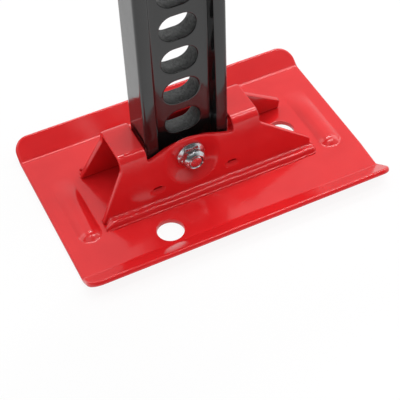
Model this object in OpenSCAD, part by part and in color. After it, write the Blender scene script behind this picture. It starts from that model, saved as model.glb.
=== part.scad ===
// High lift jack: pressed base plate, slotted rack bar, climbing runners, handle and top clevis.
// Millimetres, +Z up. The origin is the centre of the base plate's underside, X runs along the
// plate's long side towards the lifting nose, and the side with the foot nut faces -Y.

/* [Base plate] */
// Length of the base plate along X
plate_l = 180; // [160:1:220]
// Width of the flat between the two bend lines
plate_w = 92; // [88:1:120]
// Thickness of the plate's sheet
plate_t = 3; // [2.5:0.1:4]
// Slanting height of the two upturned flanges
flange_slant = 14.5; // [10:0.5:20]
// Angle of the flanges above the flat, in degrees
flange_angle = 36; // [25:1:50]
// Corner radius of the plate, seen from above
plate_corner_r = 11; // [6:1:14]
// Inside radius of the flange bends
plate_bend_r = 3; // [2:0.5:5]
// Diameter of the two holes in the plate
plate_hole_d = 15; // [10:1:18]
// Distance from the plate's middle to the front hole, along X
front_hole_x = -35; // [-45:1:-30]
// Distance from the plate's middle to the front hole, along Y
front_hole_y = -37.5; // [-38:0.5:-36]
// Distance from the plate's middle to the hole under the bracket's right wing
wing_hole_x = 54; // [48:1:56]
// Width of the two pressed beads
bead_w = 13; // [10:1:16]
// Length of the two pressed beads
bead_l = 54; // [40:1:66]
// Height of the two pressed beads
bead_h = 2.6; // [1.5:0.1:3.5]
// Distance from the plate's ends to the middle of the beads
bead_inset = 15; // [12:1:16]

/* [Foot bracket] */
// Thickness of the bracket's sheet
bracket_t = 3; // [2.5:0.1:3.3]
// Width of the bracket across its two feet
bracket_w = 41; // [40.5:0.5:43]
// Lean of the bracket's walls towards each other, in degrees
bracket_lean = 11; // [9:0.5:11]
// Distance of the bracket's middle plane from the plate's middle, along Y
bracket_y = 2; // [0:0.5:3]
// Height of the bracket's roof above the ground
bracket_top_z = 39.5; // [38.5:0.5:44]
// Height of the walls' edge beside the bar
bracket_sill_z = 31.5; // [30:0.5:32]
// Outer radius of the bracket's two folds
bracket_fold_r = 5; // [4:0.5:6]
// Distance from the plate's left end to the bracket's feet
foot_left_inset = 24; // [23.8:0.2:30]
// Distance from the plate's right end to the bracket's feet
foot_right_inset = 28; // [26:0.2:29]
// Left end of the roof
roof_left_x = -50.5; // [-53:0.5:-48]
// Right end of the roof
roof_right_x = 32; // [30:0.5:34]
// Height of the blunt end of the right wing above the plate
wing_tip_h = 6.8; // [5:0.2:8]
// Height of the blunt end of the left wing above the plate
left_tip_h = 1.5; // [1:0.5:3]
// Distance of the foot bolt's two seats from the bracket's middle plane
foot_seat = 13; // [12.6:0.1:13.2]
// Radius of the flat bottom of the hollow pressed into the wall around the foot bolt
dimple_flat_r = 9.5; // [9:0.5:10]
// Rise of the walls' edge above the bolt
sill_rise = 5.5; // [5:0.5:6]
// Leg of the weld beads
weld_leg = 5.5; // [4:0.5:6.5]
// How far the weld beads run past the bracket's feet
weld_overrun = 2.2; // [0:0.2:2.2]

/* [Rack bar] */
// Length of the bar
bar_l = 838; // [760:1:960]
// Width of the bar along X
bar_w = 49; // [47:0.5:50]
// Depth of the bar along Y
bar_d = 22; // [21:0.5:22]
// Thickness of the bar's web
web_t = 11; // [9:0.5:12]
// Width of one flange's flat face
flange_face_w = 7.2; // [6:0.2:9]
// How far the recess's side walls lean in
recess_lean = 1.2; // [0.5:0.1:2]
// Radius of the bar's corners
bar_corner_r = 2; // [1:0.5:3]
// Distance of the bar's middle from the plate's middle, along X
bar_x = -9.6; // [-11:0.1:-8]
// Height of the bar's lower end
bar_foot_z = 13.5; // [13:0.5:15]
// Distance between the slots
slot_pitch = 21; // [20:0.5:22]
// Width of a slot along X
slot_w = 20.7; // [18:0.1:24]
// Height of a slot
slot_h = 15.2; // [14:0.1:16]
// Height of the lowest slot's middle
slot_first_z = 44.5; // [44:0.5:46]
// Least distance from the highest slot's middle to the bar's upper end
slot_end = 29; // [24:1:32]

/* [Running gear] */
// Number of the slot in which the large runner's pin stands at rest
large_slot = 12; // [12:1:14]
// Slots between the two climbing pins at rest
pin_slots_apart = 4; // [4:1:5]
// Clearance between the bar and a runner, on each side
slide_gap = 0.6; // [0.4:0.1:0.8]
// Thickness of the runners' walls across the bar's edges
runner_side_t = 7; // [6:0.5:8]
// Thickness of the runners' walls across the bar's faces
runner_face_t = 6; // [5:0.5:7]
// Height of the large runner above its pin
large_up = 27; // [24:1:30]
// Depth of the large runner below its pin
large_down = 59; // [56:1:60]
// Height of the small runner above its pin
small_up = 21; // [18:1:22]
// Depth of the small runner below its pin
small_down = 19; // [17:1:20]
// Reach of the lifting nose beyond the large runner's side
nose_reach = 66; // [50:1:80]
// Depth of the nose's pad below the large runner's pin
nose_drop = 28; // [26:1:32]
// Width of the lifting nose
nose_w = 34; // [30:1:35]
// Diameter of the climbing pins
pin_d = 12.7; // [12:0.1:13]
// Travel of the climbing pins
pin_travel = 13; // [12:0.5:13.5]
// Length of a pin spring when its pin is in
spring_closed_l = 12.5; // [12:0.1:13.5]
// Diameter of the cross pins
cross_d = 4.8; // [4:0.2:5]
// Length of the cross pins
cross_l = 20; // [19:0.5:21]
// Diameter of the springs' wire
wire_d = 1.6; // [1.2:0.1:1.7]
// Number of coils in a pin spring
spring_turns = 6; // [5:1:6]

/* [Handle] */
// Distance from the bar's edge to the handle's pivot
pivot_out = 27.5; // [26.5:0.5:29.5]
// Depth of the handle's pivot below the large runner's pin
pivot_drop = 8; // [6:0.5:10]
// Throw of the handle socket's crank
crank_r = 16; // [15.5:0.1:16]
// Length of the pitmans between their holes
pitman_l = 87.3; // [87.3:0.1:87.5]
// Thickness of the pitmans
pitman_t = 5; // [4:0.5:6]
// Outer diameter of the handle tube
tube_d = 32; // [30:0.5:33]
// Wall of the handle tube
tube_wall = 2.5; // [2:0.1:4]
// Length of the handle tube above its clip
tube_past_clip = 89; // [60:1:150]
// Offset of the handle tube from its pivot, away from the bar
tube_offset = 4; // [3:0.5:6]
// Wall of the handle socket's cup around the tube
cup_wall = 5; // [4.5:0.1:5.5]
// Length of the cup
cup_l = 58; // [50:1:60]

/* [Top end] */
// Thickness of the clevis's cheeks
clevis_t = 7; // [6:0.5:9]
// Depth of the clevis below its bolt
clevis_down = 26; // [24:1:27]
// Diameter of the clevis's eye
eye_d = 16; // [13:0.5:18]
// Height of the eye above the top of the bar
eye_up = 18; // [17:0.5:22]
// Reach of the clamp jaw beyond the bar
jaw_reach = 64; // [50:1:75]
// Thickness of the clamp jaw
jaw_h = 20; // [16:1:22]

/* [Hidden] */
$fn = 48;
// Overrun of every cut
over = 1;
// Radial running clearance of a pin in its hole
run_gap = 0.06;
// Radial clearance of a bolt in a threaded or drilled hole
thread_gap = 0.03;
// Side clearance between moving plates
side_gap = 0.3;

// Foot bolt and nut, M8 with a flange
bolt_d = 8;
bolt_z = 25.5;
bolt_hole_d = 8.8;
bolt_head_af = 13;
bolt_head_h = 5.3;
nut_flange_d = 17.4;
nut_flange_h = 1.6;
nut_af = 13;
nut_hex_h = 4.2;
nut_collar_d = 11.6;
nut_collar_h = 1.8;
bolt_stick_out = 0.4;
nut_h = nut_flange_h + nut_hex_h + nut_collar_h;

// Pushed-in tabs that carry the bar
tab_w = 8.5;
tab_hold = 1.2;
tab_lip = 1;
tab_root = 6.5;
tab_slit_h = 1;
tab_dent = 1.6;
tab_xs = [bar_x - bar_w / 2 + bar_corner_r, bar_x + bar_w / 2 - bar_corner_r];

// Seat of the flange bends in the plate's section
flange_straight = flange_slant - plate_bend_r * tan(flange_angle / 2);
plate_full_w = plate_w + 2 * (flange_slant * cos(flange_angle) + plate_t * sin(flange_angle));
bend_steps = 6;
bead_r = (bead_w * bead_w / 4 + bead_h * bead_h) / (2 * bead_h);
bead_center_z = plate_t + bead_h - bead_r;
bead_xs = [-(plate_l / 2 - bead_inset), plate_l / 2 - bead_inset];
bead_y = 1;

// Walls of the foot bracket
foot_left_x = -plate_l / 2 + foot_left_inset;
foot_right_x = plate_l / 2 - foot_right_inset;
foot_out = bracket_w / 2;
wall_t = bracket_t / cos(bracket_lean);
fold_z = bracket_top_z - bracket_fold_r;
fold_y = foot_out - (fold_z - plate_t) * tan(bracket_lean) - bracket_fold_r / cos(bracket_lean);
fold_steps = 12;
dimple_slope = 1.6;
dimple_h = foot_out - foot_seat;
bracket_slot_gap = 1.1;
slot_left_x = bar_x - bar_w / 2 - bracket_slot_gap;
slot_right_x = bar_x + bar_w / 2 + bracket_slot_gap;
sill_steps = 20;
web_room = web_t / 2 + bracket_slot_gap;
weld_throat_share = 0.66;

// Slots of the bar and places of the runners
bar_top_z = bar_foot_z + bar_l;
slot_count = 1 + floor((bar_top_z - slot_end - slot_first_z) / slot_pitch);
large_z = slot_first_z + large_slot * slot_pitch;
small_z = large_z - pin_slots_apart * slot_pitch;
clamp_z = slot_first_z + (slot_count - 1) * slot_pitch;

// Section of the runners
runner_in_x = bar_w / 2 + slide_gap;
runner_in_y = bar_d / 2 + slide_gap;
runner_out_x = runner_in_x + runner_side_t;
runner_out_y = runner_in_y + runner_face_t;
runner_corner_r = 6;
rib_h = 6;
rib_out = 1.8;
boss_d = 24;
boss_l = 6;
pin_end_hole_d = 14;

// Climbing pins, drawn out at rest, each with a spring between its boss and its cross pin
pin_tip_gap = 1;
pin_tip_y = -web_t / 2 - pin_tip_gap;
pin_bevel_l = 5;
pin_bevel_h = 6;
cross_inset = 4;
boss_face_y = -runner_out_y - boss_l;
spring_seat_gap = 0.25;
spring_inner_y = boss_face_y - spring_seat_gap;
spring_outer_y = spring_inner_y - spring_closed_l - pin_travel;
cross_y = spring_outer_y - spring_seat_gap - cross_d / 2;
pin_tail_y = cross_y - cross_inset;
spring_pin_gap = 0.8;
spring_mean_r = pin_d / 2 + wire_d / 2 + spring_pin_gap;
spring_sides = 6;
spring_rings = 8;

// Lugs of the large runner
lug_t = 18;
lug_eye_r = 13;
lug_root_up = 22;
lug_root_down = 22;
pivot_d = 12;
pivot_x = -bar_w / 2 - pivot_out;
pivot_z = large_z - pivot_drop;
pivot_head_af = 18;
pivot_head_h = 7.5;
pivot_face_d = 17;
pivot_face_h = 0.8;

// Handle socket
cup_d = tube_d + 2 * cup_wall;
cheek_t = 6.5;
cheek_in = lug_t / 2 + side_gap;
cheek_out = cheek_in + cheek_t;
cheek_eye_r = 15;
crank_eye_r = 9;
crank_angle = 45;
crank_x = pivot_x - crank_r * cos(crank_angle);
crank_z = pivot_z + crank_r * sin(crank_angle);
cup_floor_up = 23;
cup_floor_t = 5;
tube_x = pivot_x - tube_offset;
tube_foot_z = pivot_z + cup_floor_up + cup_floor_t;
socket_bolt_d = 8;
socket_bolt_up = 36;
socket_bolt_z = tube_foot_z + socket_bolt_up;
plug_cap_h = 5;
plug_spigot_h = 18;
plug_dome_r = 2.4;

// Pitmans and their fasteners
pitman_in = cheek_out + side_gap;
pitman_out = pitman_in + pitman_t;
pitman_top_r = 9;
pitman_foot_r = 12.5;
pitman_waist_w = 13;
pitman_waist_shift = 3;
pitman_pin_d = 8;
pitman_pin_head_d = 10.4;
pitman_pin_head_h = 1.6;
pitman_bolt_d = 10;
pitman_foot_hole_d = 16;
pitman_bolt_head_d = 23;
pitman_bolt_head_h = 2.5;
pitman_bolt_hex_af = 16;
pitman_bolt_hex_h = 6;
crank_side_share = (1 + cos(crank_angle)) / 2;
link_x = pivot_x - crank_r * crank_side_share;
link_z = crank_z - pitman_l;
link_lug_r = 12;

// Reversing latch
latch_hub_out = 10;
latch_hub_y = -runner_out_y - latch_hub_out;
latch_hub_up = 19;
latch_hub_r = 6;
latch_pin_d = 6;
latch_lug_t = 4;
latch_lug_in = 9.2;
latch_hub_half = latch_lug_in - side_gap;
latch_plate_in = 11.5;
latch_plate_out = 15;
latch_web_t = 5;
latch_start_y = latch_hub_y - latch_hub_r - side_gap;
latch_tail_gap = 6;
latch_tip_y = pin_tail_y - latch_tail_gap;
latch_thumb_l = 13;
latch_claw_drop = 4.5;
latch_droop = 5;
latch_lug_out = latch_lug_in + latch_lug_t;

// Lifting nose
nose_tip_h = 12;
nose_root_h = large_down - nose_drop;
nose_lip_h = 2.5;
nose_lip_w = 7;
nose_pocket_depth = 9;
nose_rib = 6;

// Top end
cheek_gap = 0.3;
clevis_in = bar_d / 2 + cheek_gap;
clevis_out = clevis_in + clevis_t;
clevis_back_x = -bar_w / 2 - cheek_gap - clevis_t;
clevis_over_bar = 24;
clevis_front_x = bar_w / 2 + clevis_over_bar;
clevis_cap = 4;
clevis_low_z = clamp_z - clevis_down;
eye_x = -2;
eye_z = bar_top_z + eye_up;
eye_rim = 8;
clamp_bolt_d = 12;
clamp_head_af = 19;
clamp_head_h = 7.5;
clamp_washer_d = 24;
clamp_washer_h = 1.5;
jaw_left_x = bar_w / 2 + cheek_gap;
jaw_bolt_in = 12;
jaw_bolt_x = jaw_left_x + jaw_bolt_in;
jaw_root_h = 40;
jaw_z = clevis_low_z;
jaw_bolt_z = clamp_z;
jaw_bolt_d = 10;
jaw_head_af = 16;
jaw_head_h = 6.4;
jaw_washer_d = 20;
jaw_tip_h = 11;
jaw_w = 30;
jaw_fit = 0.1;
clip_t = 1.8;
clip_h = 16;
clip_gap = 0.3;
clip_down = 24;
clip_z = bar_top_z - clip_down;
clip_foot_w = 32;
clip_stem_w = 8;
tube_l = clip_z + tube_past_clip - tube_foot_z;
clip_screw_y = 10.5;
clip_screw_d = 5;
clip_screw_l = 8;
clip_head_d = 9;
clip_head_h = 2.6;

// Colours, as the photograph shows them
red_paint = "#D8252B";
black_paint = "#2B2D2E";
zinc = "#B9BCC0";
dark_zinc = "#8D9196";
black_plastic = "#1E1F20";

// Rectangle with round corners, about its middle
module round_rect(w, d, r) {
    square([w - 2 * r, d], center = true);
    square([w, d - 2 * r], center = true);
    for (sx = [-1, 1], sy = [-1, 1]) translate([sx * (w / 2 - r), sy * (d / 2 - r)]) circle(r);
}

// Slot outline with round ends, lying along X
module obround(w, h) {
    square([w - h, h], center = true);
    for (s = [-1, 1]) translate([s * (w - h) / 2, 0]) circle(h / 2);
}

// Outline in X and Z, given thickness along Y about y
module slab_xz(y0, y1) {
    translate([0, y1, 0]) rotate([90, 0, 0]) linear_extrude(y1 - y0) children();
}

// Outline in Y and Z, given thickness along X
module slab_yz(x0, x1) {
    translate([x0, 0, 0]) rotate([90, 0, 90]) linear_extrude(x1 - x0) children();
}

// Round bar along Y between two planes
module rod_y(d, y0, y1) {
    translate([0, y1, 0]) rotate([90, 0, 0]) cylinder(h = y1 - y0, d = d);
}

// Round bar along X between two planes
module rod_x(d, x0, x1) {
    translate([x0, 0, 0]) rotate([0, 90, 0]) cylinder(h = x1 - x0, d = d);
}

// Hexagon along Y between two planes, given across its flats
module hex_y(af, y0, y1) {
    translate([0, y1, 0]) rotate([90, 0, 0]) cylinder(h = y1 - y0, d = af / cos(30), $fn = 6);
}

// Washer-faced hexagon head whose seat is at y, pointing towards side s of Y
module bolt_head(af, h, washer_d, washer_h, y, s) {
    y_washer = y + s * washer_h;
    y_top = y_washer + s * h;
    rod_y(washer_d, min(y, y_washer), max(y, y_washer));
    hex_y(af, min(y_washer, y_top), max(y_washer, y_top));
}

// Point of a bend on side s of the plate, at radius r and angle a, slid along the flange
function bend_point(s, r, a, slide) = [
    s * (plate_w / 2 + r * sin(a) + slide * cos(a)),
    plate_t + plate_bend_r - r * cos(a) + slide * sin(a)];

// Outline of one half of the plate's section, from its underside to its top
function plate_half(s) = concat(
    [for (i = [0:bend_steps]) bend_point(s, plate_bend_r + plate_t, flange_angle * i / bend_steps, 0)],
    [bend_point(s, plate_bend_r + plate_t, flange_angle, flange_straight)],
    [bend_point(s, plate_bend_r, flange_angle, flange_straight)],
    [for (i = [bend_steps:-1:0]) bend_point(s, plate_bend_r, flange_angle * i / bend_steps, 0)]);

// Section of the plate in Y and Z: the flat, two bends and two straight flanges
module plate_section() {
    left = plate_half(-1);
    polygon(concat(plate_half(1), [for (i = [len(left) - 1:-1:0]) left[i]]));
}

// Solid of a pressed bead with round ends, of radius r about the bead's centre
module bead_form(r) {
    half = bead_l / 2 - bead_w / 2;
    translate([0, half, 0]) rotate([90, 0, 0]) cylinder(h = 2 * half, r = r);
    for (s = [-1, 1]) translate([0, s * half, 0]) sphere(r);
}

module base_plate() color(red_paint) {
    difference() {
        union() {
            intersection() {
                slab_yz(-plate_l / 2, plate_l / 2) plate_section();
                translate([0, 0, -over]) linear_extrude(flange_slant + plate_t + 2 * over)
                    round_rect(plate_l, plate_full_w, plate_corner_r);
            }
            for (x = bead_xs) intersection() {
                translate([x, bead_y, bead_center_z]) bead_form(bead_r);
                translate([x - bead_w, bead_y - bead_l, plate_t])
                    cube([2 * bead_w, 2 * bead_l, bead_h + over]);
            }
        }
        for (x = bead_xs) intersection() {
            translate([x, bead_y, bead_center_z]) bead_form(bead_r - plate_t);
            translate([x - bead_w, bead_y - bead_l, -over])
                cube([2 * bead_w, 2 * bead_l, bead_r]);
        }
        translate([front_hole_x, front_hole_y, -over])
            cylinder(h = plate_t + 2 * over, d = plate_hole_d);
        translate([wing_hole_x, bracket_y, -over])
            cylinder(h = plate_t + 2 * over, d = plate_hole_d);
    }
}

// Distance of a wall's outer face, middle and inner face from the middle plane, at height z
function wall_out(z) = foot_out - (z - plate_t) * tan(bracket_lean);
function wall_mid(z) = wall_out(z) - wall_t / 2;
function wall_in(z) = wall_out(z) - wall_t;

// Points of a fold from one angle to another, at radius r from its middle
function fold_arc(r, from, to) = [for (i = [0:fold_steps])
    let (a = from + (to - from) * i / fold_steps)
        [fold_y + r * cos(a), fold_z + r * sin(a)]];

// Folded channel's section in Y and Z, about its middle plane
module channel_section() {
    half = concat(
        fold_arc(bracket_fold_r, 90, bracket_lean),
        [[wall_out(plate_t), plate_t], [wall_in(plate_t), plate_t]],
        fold_arc(bracket_fold_r - bracket_t, bracket_lean, 90));
    other_half = [for (i = [len(half) - 1:-1:0]) [-half[i][0], half[i][1]]];
    polygon(concat(half, other_half));
}

// Side view of the bracket: a roof between two slanting wings
module bracket_side() {
    polygon([
        [foot_left_x, plate_t],
        [foot_left_x, plate_t + left_tip_h],
        [roof_left_x, bracket_sill_z],
        [roof_left_x, bracket_top_z],
        [roof_right_x, bracket_top_z],
        [roof_right_x, bracket_sill_z],
        [foot_right_x, plate_t + wing_tip_h],
        [foot_right_x, plate_t]
    ]);
}

// Opening for the bar: above the sill, which rises over the bolt
module bar_opening() {
    span = slot_right_x - slot_left_x;
    polygon(concat(
        [[slot_right_x, bracket_top_z + over], [slot_left_x, bracket_top_z + over]],
        [for (i = [0:sill_steps]) [slot_left_x + span * i / sill_steps,
            bracket_sill_z + sill_rise * (1 - cos(360 * i / sill_steps)) / 2]]));
}

// Hollow pressed around the foot bolt, on side s, with its flat bottom at distance y
module dimple(y, s) {
    translate([bar_x, s * y, bolt_z]) rotate([-s * 90, 0, 0])
        cylinder(h = dimple_h, r1 = dimple_flat_r, r2 = dimple_flat_r + dimple_slope * dimple_h);
}

// Room between the middles of the sheet of the two walls and of the roof
module between_walls() {
    polygon([
        [-wall_mid(plate_t), plate_t],
        [wall_mid(plate_t), plate_t],
        [wall_mid(fold_z), fold_z],
        [fold_y, bracket_top_z - bracket_t / 2],
        [-fold_y, bracket_top_z - bracket_t / 2],
        [-wall_mid(fold_z), fold_z]
    ]);
}

// Section of a pushed-in tab, on the inside of the wall on the +Y side
module tab_section() {
    tip = bar_d / 2 - tab_hold;
    low_z = bar_foot_z - tab_root;
    polygon([
        [wall_mid(bar_foot_z), bar_foot_z],
        [tip, bar_foot_z],
        [tip, bar_foot_z - tab_lip],
        [wall_in(low_z), low_z],
        [wall_mid(low_z), low_z]
    ]);
}

// Dent that the tab leaves on the outside of the wall on the +Y side
module tab_dent_section() {
    low_z = bar_foot_z - tab_root + tab_lip;
    polygon([
        [wall_out(low_z) + over, bar_foot_z],
        [wall_out(bar_foot_z) - tab_dent, bar_foot_z],
        [wall_out(low_z) + over, low_z]
    ]);
}

module foot_bracket() color(red_paint) translate([0, bracket_y, 0]) {
    difference() {
        union() {
            intersection() {
                slab_yz(foot_left_x, foot_right_x) channel_section();
                slab_xz(-bracket_w, bracket_w) bracket_side();
            }
            intersection() {
                slab_yz(foot_left_x, foot_right_x) between_walls();
                for (s = [-1, 1]) dimple(foot_seat - bracket_t, s);
            }
            for (m = [0, 1], x = tab_xs) mirror([0, m, 0])
                slab_yz(x - tab_w / 2, x + tab_w / 2) tab_section();
        }
        for (s = [-1, 1]) dimple(foot_seat, s);
        slab_xz(-bracket_w, bracket_w) bar_opening();
        translate([slot_left_x, -web_room, bracket_sill_z])
            cube([slot_right_x - slot_left_x, 2 * web_room, bracket_top_z]);
        translate([bar_x, 0, bolt_z]) rod_y(bolt_hole_d, -bracket_w, bracket_w);
        for (m = [0, 1], x = tab_xs) mirror([0, m, 0]) {
            slab_yz(x - tab_w / 2, x + tab_w / 2) tab_dent_section();
            translate([x - tab_w / 2, wall_in(bar_foot_z + tab_slit_h) - over, bar_foot_z])
                cube([tab_w, 2 * bracket_t, tab_slit_h]);
        }
    }
}

// Fillet of weld metal along the foot of one wall
module weld_section() {
    throat = weld_leg * weld_throat_share;
    top_z = plate_t + weld_leg;
    polygon([[foot_out, plate_t], [foot_out + weld_leg, plate_t],
        [foot_out + throat, plate_t + throat], [wall_out(top_z), top_z]]);
}

module foot_welds() color(red_paint) translate([0, bracket_y, 0])
    for (m = [0, 1]) mirror([0, m, 0])
        intersection() {
            slab_yz(foot_left_x - weld_overrun, foot_right_x + weld_overrun) weld_section();
            translate([(foot_left_x + foot_right_x) / 2, foot_out, 0])
                linear_extrude(plate_t + 2 * weld_leg)
                    obround(foot_right_x - foot_left_x + 2 * weld_overrun, 2 * weld_leg);
        }

// I-section of the bar about its middle
module bar_section() {
    top_half = bar_w / 2 - flange_face_w;
    difference() {
        round_rect(bar_w, bar_d, bar_corner_r);
        for (s = [0, 1]) mirror([0, s]) polygon([
            [-top_half, bar_d / 2 + over],
            [-top_half, bar_d / 2],
            [-top_half + recess_lean, web_t / 2],
            [top_half - recess_lean, web_t / 2],
            [top_half, bar_d / 2],
            [top_half, bar_d / 2 + over]
        ]);
    }
}

module at_bar(z) {
    translate([bar_x, bracket_y, z]) children();
}

module rack_bar() color(black_paint) at_bar(0)
    difference() {
        translate([0, 0, bar_foot_z]) linear_extrude(bar_l) bar_section();
        for (k = [0:slot_count - 1]) translate([0, 0, slot_first_z + k * slot_pitch])
            slab_xz(-bar_d, bar_d) obround(slot_w, slot_h);
        translate([0, 0, bolt_z]) rod_y(bolt_hole_d, -bar_d, bar_d);
    }

module foot_bolt() color(zinc) at_bar(bolt_z) {
    rod_y(bolt_d, -foot_seat - nut_h - bolt_stick_out, foot_seat);
    bolt_head(bolt_head_af, bolt_head_h, nut_flange_d, nut_flange_h, foot_seat, 1);
}

module foot_nut() color(zinc) at_bar(bolt_z)
    difference() {
        union() {
            rod_y(nut_flange_d, -foot_seat - nut_flange_h, -foot_seat);
            hex_y(nut_af, -foot_seat - nut_flange_h - nut_hex_h, -foot_seat - nut_flange_h);
            rod_y(nut_collar_d, -foot_seat - nut_h, -foot_seat - nut_flange_h - nut_hex_h);
        }
        rod_y(bolt_d + 2 * thread_gap, -foot_seat - nut_h - over, -foot_seat + over);
    }

// Sleeve of a runner between two heights, with a rib around each end
module runner_sleeve(z0, z1) {
    difference() {
        union() {
            translate([0, 0, z0]) linear_extrude(z1 - z0)
                round_rect(2 * runner_out_x, 2 * runner_out_y, runner_corner_r);
            for (z = [z0, z1 - rib_h]) translate([0, 0, z]) linear_extrude(rib_h)
                round_rect(2 * (runner_out_x + rib_out), 2 * (runner_out_y + rib_out),
                    runner_corner_r + rib_out);
        }
        translate([0, 0, z0 - over]) linear_extrude(z1 - z0 + 2 * over)
            round_rect(2 * runner_in_x, 2 * runner_in_y, bar_corner_r);
    }
}

// Boss for a climbing pin, at height z
module pin_boss(z) {
    translate([0, 0, z]) rod_y(boss_d, boss_face_y, -runner_in_y - over / 2);
}

// Holes of a climbing pin: a close bore in front and a clear one behind
module pin_holes(z) {
    translate([0, 0, z]) {
        rod_y(pin_d + 2 * run_gap, boss_face_y - over, 0);
        rod_y(pin_end_hole_d, 0, runner_out_y + rib_out + over);
    }
}

// Outline of the lifting nose in X and Z
module nose_outline() {
    x0 = runner_in_x + runner_side_t / 2;
    x1 = runner_out_x + nose_reach;
    pad_z = large_z - nose_drop;
    polygon([
        [x0, pad_z],
        [x1 - nose_lip_w, pad_z],
        [x1 - nose_lip_w / 2, pad_z + nose_lip_h],
        [x1, pad_z + nose_lip_h],
        [x1, pad_z - nose_tip_h],
        [runner_out_x + nose_rib, pad_z - nose_root_h],
        [x0, pad_z - nose_root_h]
    ]);
}

// Pocket in the nose's flank, a rib's width inside its outline
module nose_pocket_outline() {
    x0 = runner_out_x + nose_rib;
    x1 = runner_out_x + nose_reach - 2 * nose_rib;
    pad_z = large_z - nose_drop;
    low_z = pad_z - nose_root_h;
    slope = (nose_root_h - nose_tip_h) / (nose_reach - nose_rib);
    polygon([
        [x0, pad_z - nose_rib],
        [x1, pad_z - nose_rib],
        [x1, low_z + slope * (x1 - x0) + nose_rib * (1 + slope)],
        [x0, low_z + nose_rib * (1 + slope)]
    ]);
}

// Lug towards the handle, with a root block and a round eye
module lug_outline(x, z, r, up, down) {
    polygon([
        [-runner_in_x - runner_side_t / 2, z + up],
        [x, z + r],
        [x, z - r],
        [-runner_in_x - runner_side_t / 2, z - down]
    ]);
    translate([x, z]) circle(r);
}

module large_runner() color(red_paint) at_bar(0)
    difference() {
        union() {
            runner_sleeve(large_z - large_down, large_z + large_up);
            difference() {
                slab_xz(-nose_w / 2, nose_w / 2) nose_outline();
                slab_xz(nose_w / 2 - nose_pocket_depth, nose_w) nose_pocket_outline();
                slab_xz(-nose_w, -nose_w / 2 + nose_pocket_depth) nose_pocket_outline();
            }
            slab_xz(-lug_t / 2, lug_t / 2)
                lug_outline(pivot_x, pivot_z, lug_eye_r, lug_root_up, lug_root_down);
            pin_boss(large_z);
            for (s = [-1, 1]) slab_yz(
                min(s * latch_lug_in, s * latch_lug_out), max(s * latch_lug_in, s * latch_lug_out))
                latch_lug_outline();
        }
        pin_holes(large_z);
        translate([pivot_x, 0, pivot_z]) rod_y(pivot_d + 2 * run_gap, -lug_t, lug_t);
        translate([0, latch_hub_y, large_z + latch_hub_up])
            rod_x(latch_pin_d + 2 * thread_gap, -runner_out_x, runner_out_x);
    }

// Lug that carries the latch's pin, in Y and Z
module latch_lug_outline() {
    root_y = -runner_in_y - runner_face_t / 2;
    z = large_z + latch_hub_up;
    translate([latch_hub_y, z]) circle(latch_hub_r);
    polygon([[root_y, z + latch_hub_r], [latch_hub_y, z + latch_hub_r],
        [latch_hub_y, z - latch_hub_r], [root_y, z - latch_hub_r]]);
}

module pivot_bolt() color(dark_zinc) translate([pivot_x, 0, 0]) at_bar(pivot_z) {
    seat = pitman_out + side_gap;
    rod_y(pivot_d, -seat - pivot_face_h - pivot_head_h, seat);
    bolt_head(pivot_head_af, pivot_head_h, pivot_face_d, pivot_face_h, seat, 1);
}

module pivot_nut() color(zinc) translate([pivot_x, 0, 0]) at_bar(pivot_z)
    difference() {
        bolt_head(pivot_head_af, pivot_head_h - bolt_stick_out, pivot_face_d, pivot_face_h,
            -pitman_out - side_gap, -1);
        rod_y(pivot_d + 2 * thread_gap, -bracket_w, 0);
    }

module latch_pin() color(zinc) at_bar(large_z + latch_hub_up) translate([0, latch_hub_y, 0]) {
    rod_x(latch_pin_d, -latch_lug_out - rib_out, latch_lug_out + rib_out);
}

// Outline of one cheek of the handle socket, from the pivot to the cup
module cheek_outline() {
    cup_half = cup_d / 2;
    floor_z = pivot_z + cup_floor_up;
    translate([pivot_x, pivot_z]) circle(cheek_eye_r);
    translate([crank_x, crank_z]) circle(crank_eye_r);
    polygon([
        [pivot_x + cheek_eye_r, pivot_z],
        [tube_x + cup_half, floor_z],
        [tube_x + cup_half, floor_z + cup_floor_t],
        [tube_x - cup_half, floor_z + cup_floor_t],
        [tube_x - cup_half, floor_z],
        [crank_x - crank_eye_r, crank_z],
        [pivot_x - cheek_eye_r, pivot_z]
    ]);
}

module handle_socket() color(red_paint) at_bar(0)
    difference() {
        union() {
            for (s = [0, 1]) mirror([0, s, 0])
                slab_xz(cheek_in, cheek_out) cheek_outline();
            translate([tube_x, 0, pivot_z + cup_floor_up])
                cylinder(h = cup_floor_t + cup_l, d = cup_d);
        }
        translate([tube_x, 0, tube_foot_z])
            cylinder(h = cup_l + over, d = tube_d + 2 * run_gap);
        translate([pivot_x, 0, pivot_z]) rod_y(pivot_d + 2 * run_gap, -bracket_w, bracket_w);
        for (s = [0, 1]) mirror([0, s, 0]) translate([crank_x, 0, crank_z])
            rod_y(pitman_pin_d + 2 * thread_gap, 0, bracket_w);
        translate([tube_x, 0, socket_bolt_z])
            rod_y(socket_bolt_d + 2 * run_gap, -cup_d, cup_d);
    }

module handle_tube() color(black_paint) translate([tube_x, 0, 0]) at_bar(tube_foot_z)
    difference() {
        cylinder(h = tube_l, d = tube_d);
        translate([0, 0, -over]) cylinder(h = tube_l + 2 * over, d = tube_d - 2 * tube_wall);
        translate([0, 0, socket_bolt_up]) rod_y(socket_bolt_d + 2 * run_gap, -tube_d, tube_d);
    }

// Plug in the tube's end: a cap as wide as the tube and a spigot inside it
module handle_end_plug() color(black_plastic) translate([tube_x, 0, 0]) at_bar(tube_foot_z + tube_l) {
    translate([0, 0, -plug_spigot_h])
        cylinder(h = plug_spigot_h, d = tube_d - 2 * tube_wall - 2 * run_gap);
    rotate_extrude() {
        square([tube_d / 2, plug_cap_h - plug_dome_r]);
        square([tube_d / 2 - plug_dome_r, plug_cap_h]);
        translate([tube_d / 2 - plug_dome_r, plug_cap_h - plug_dome_r]) circle(plug_dome_r);
    }
}

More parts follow.
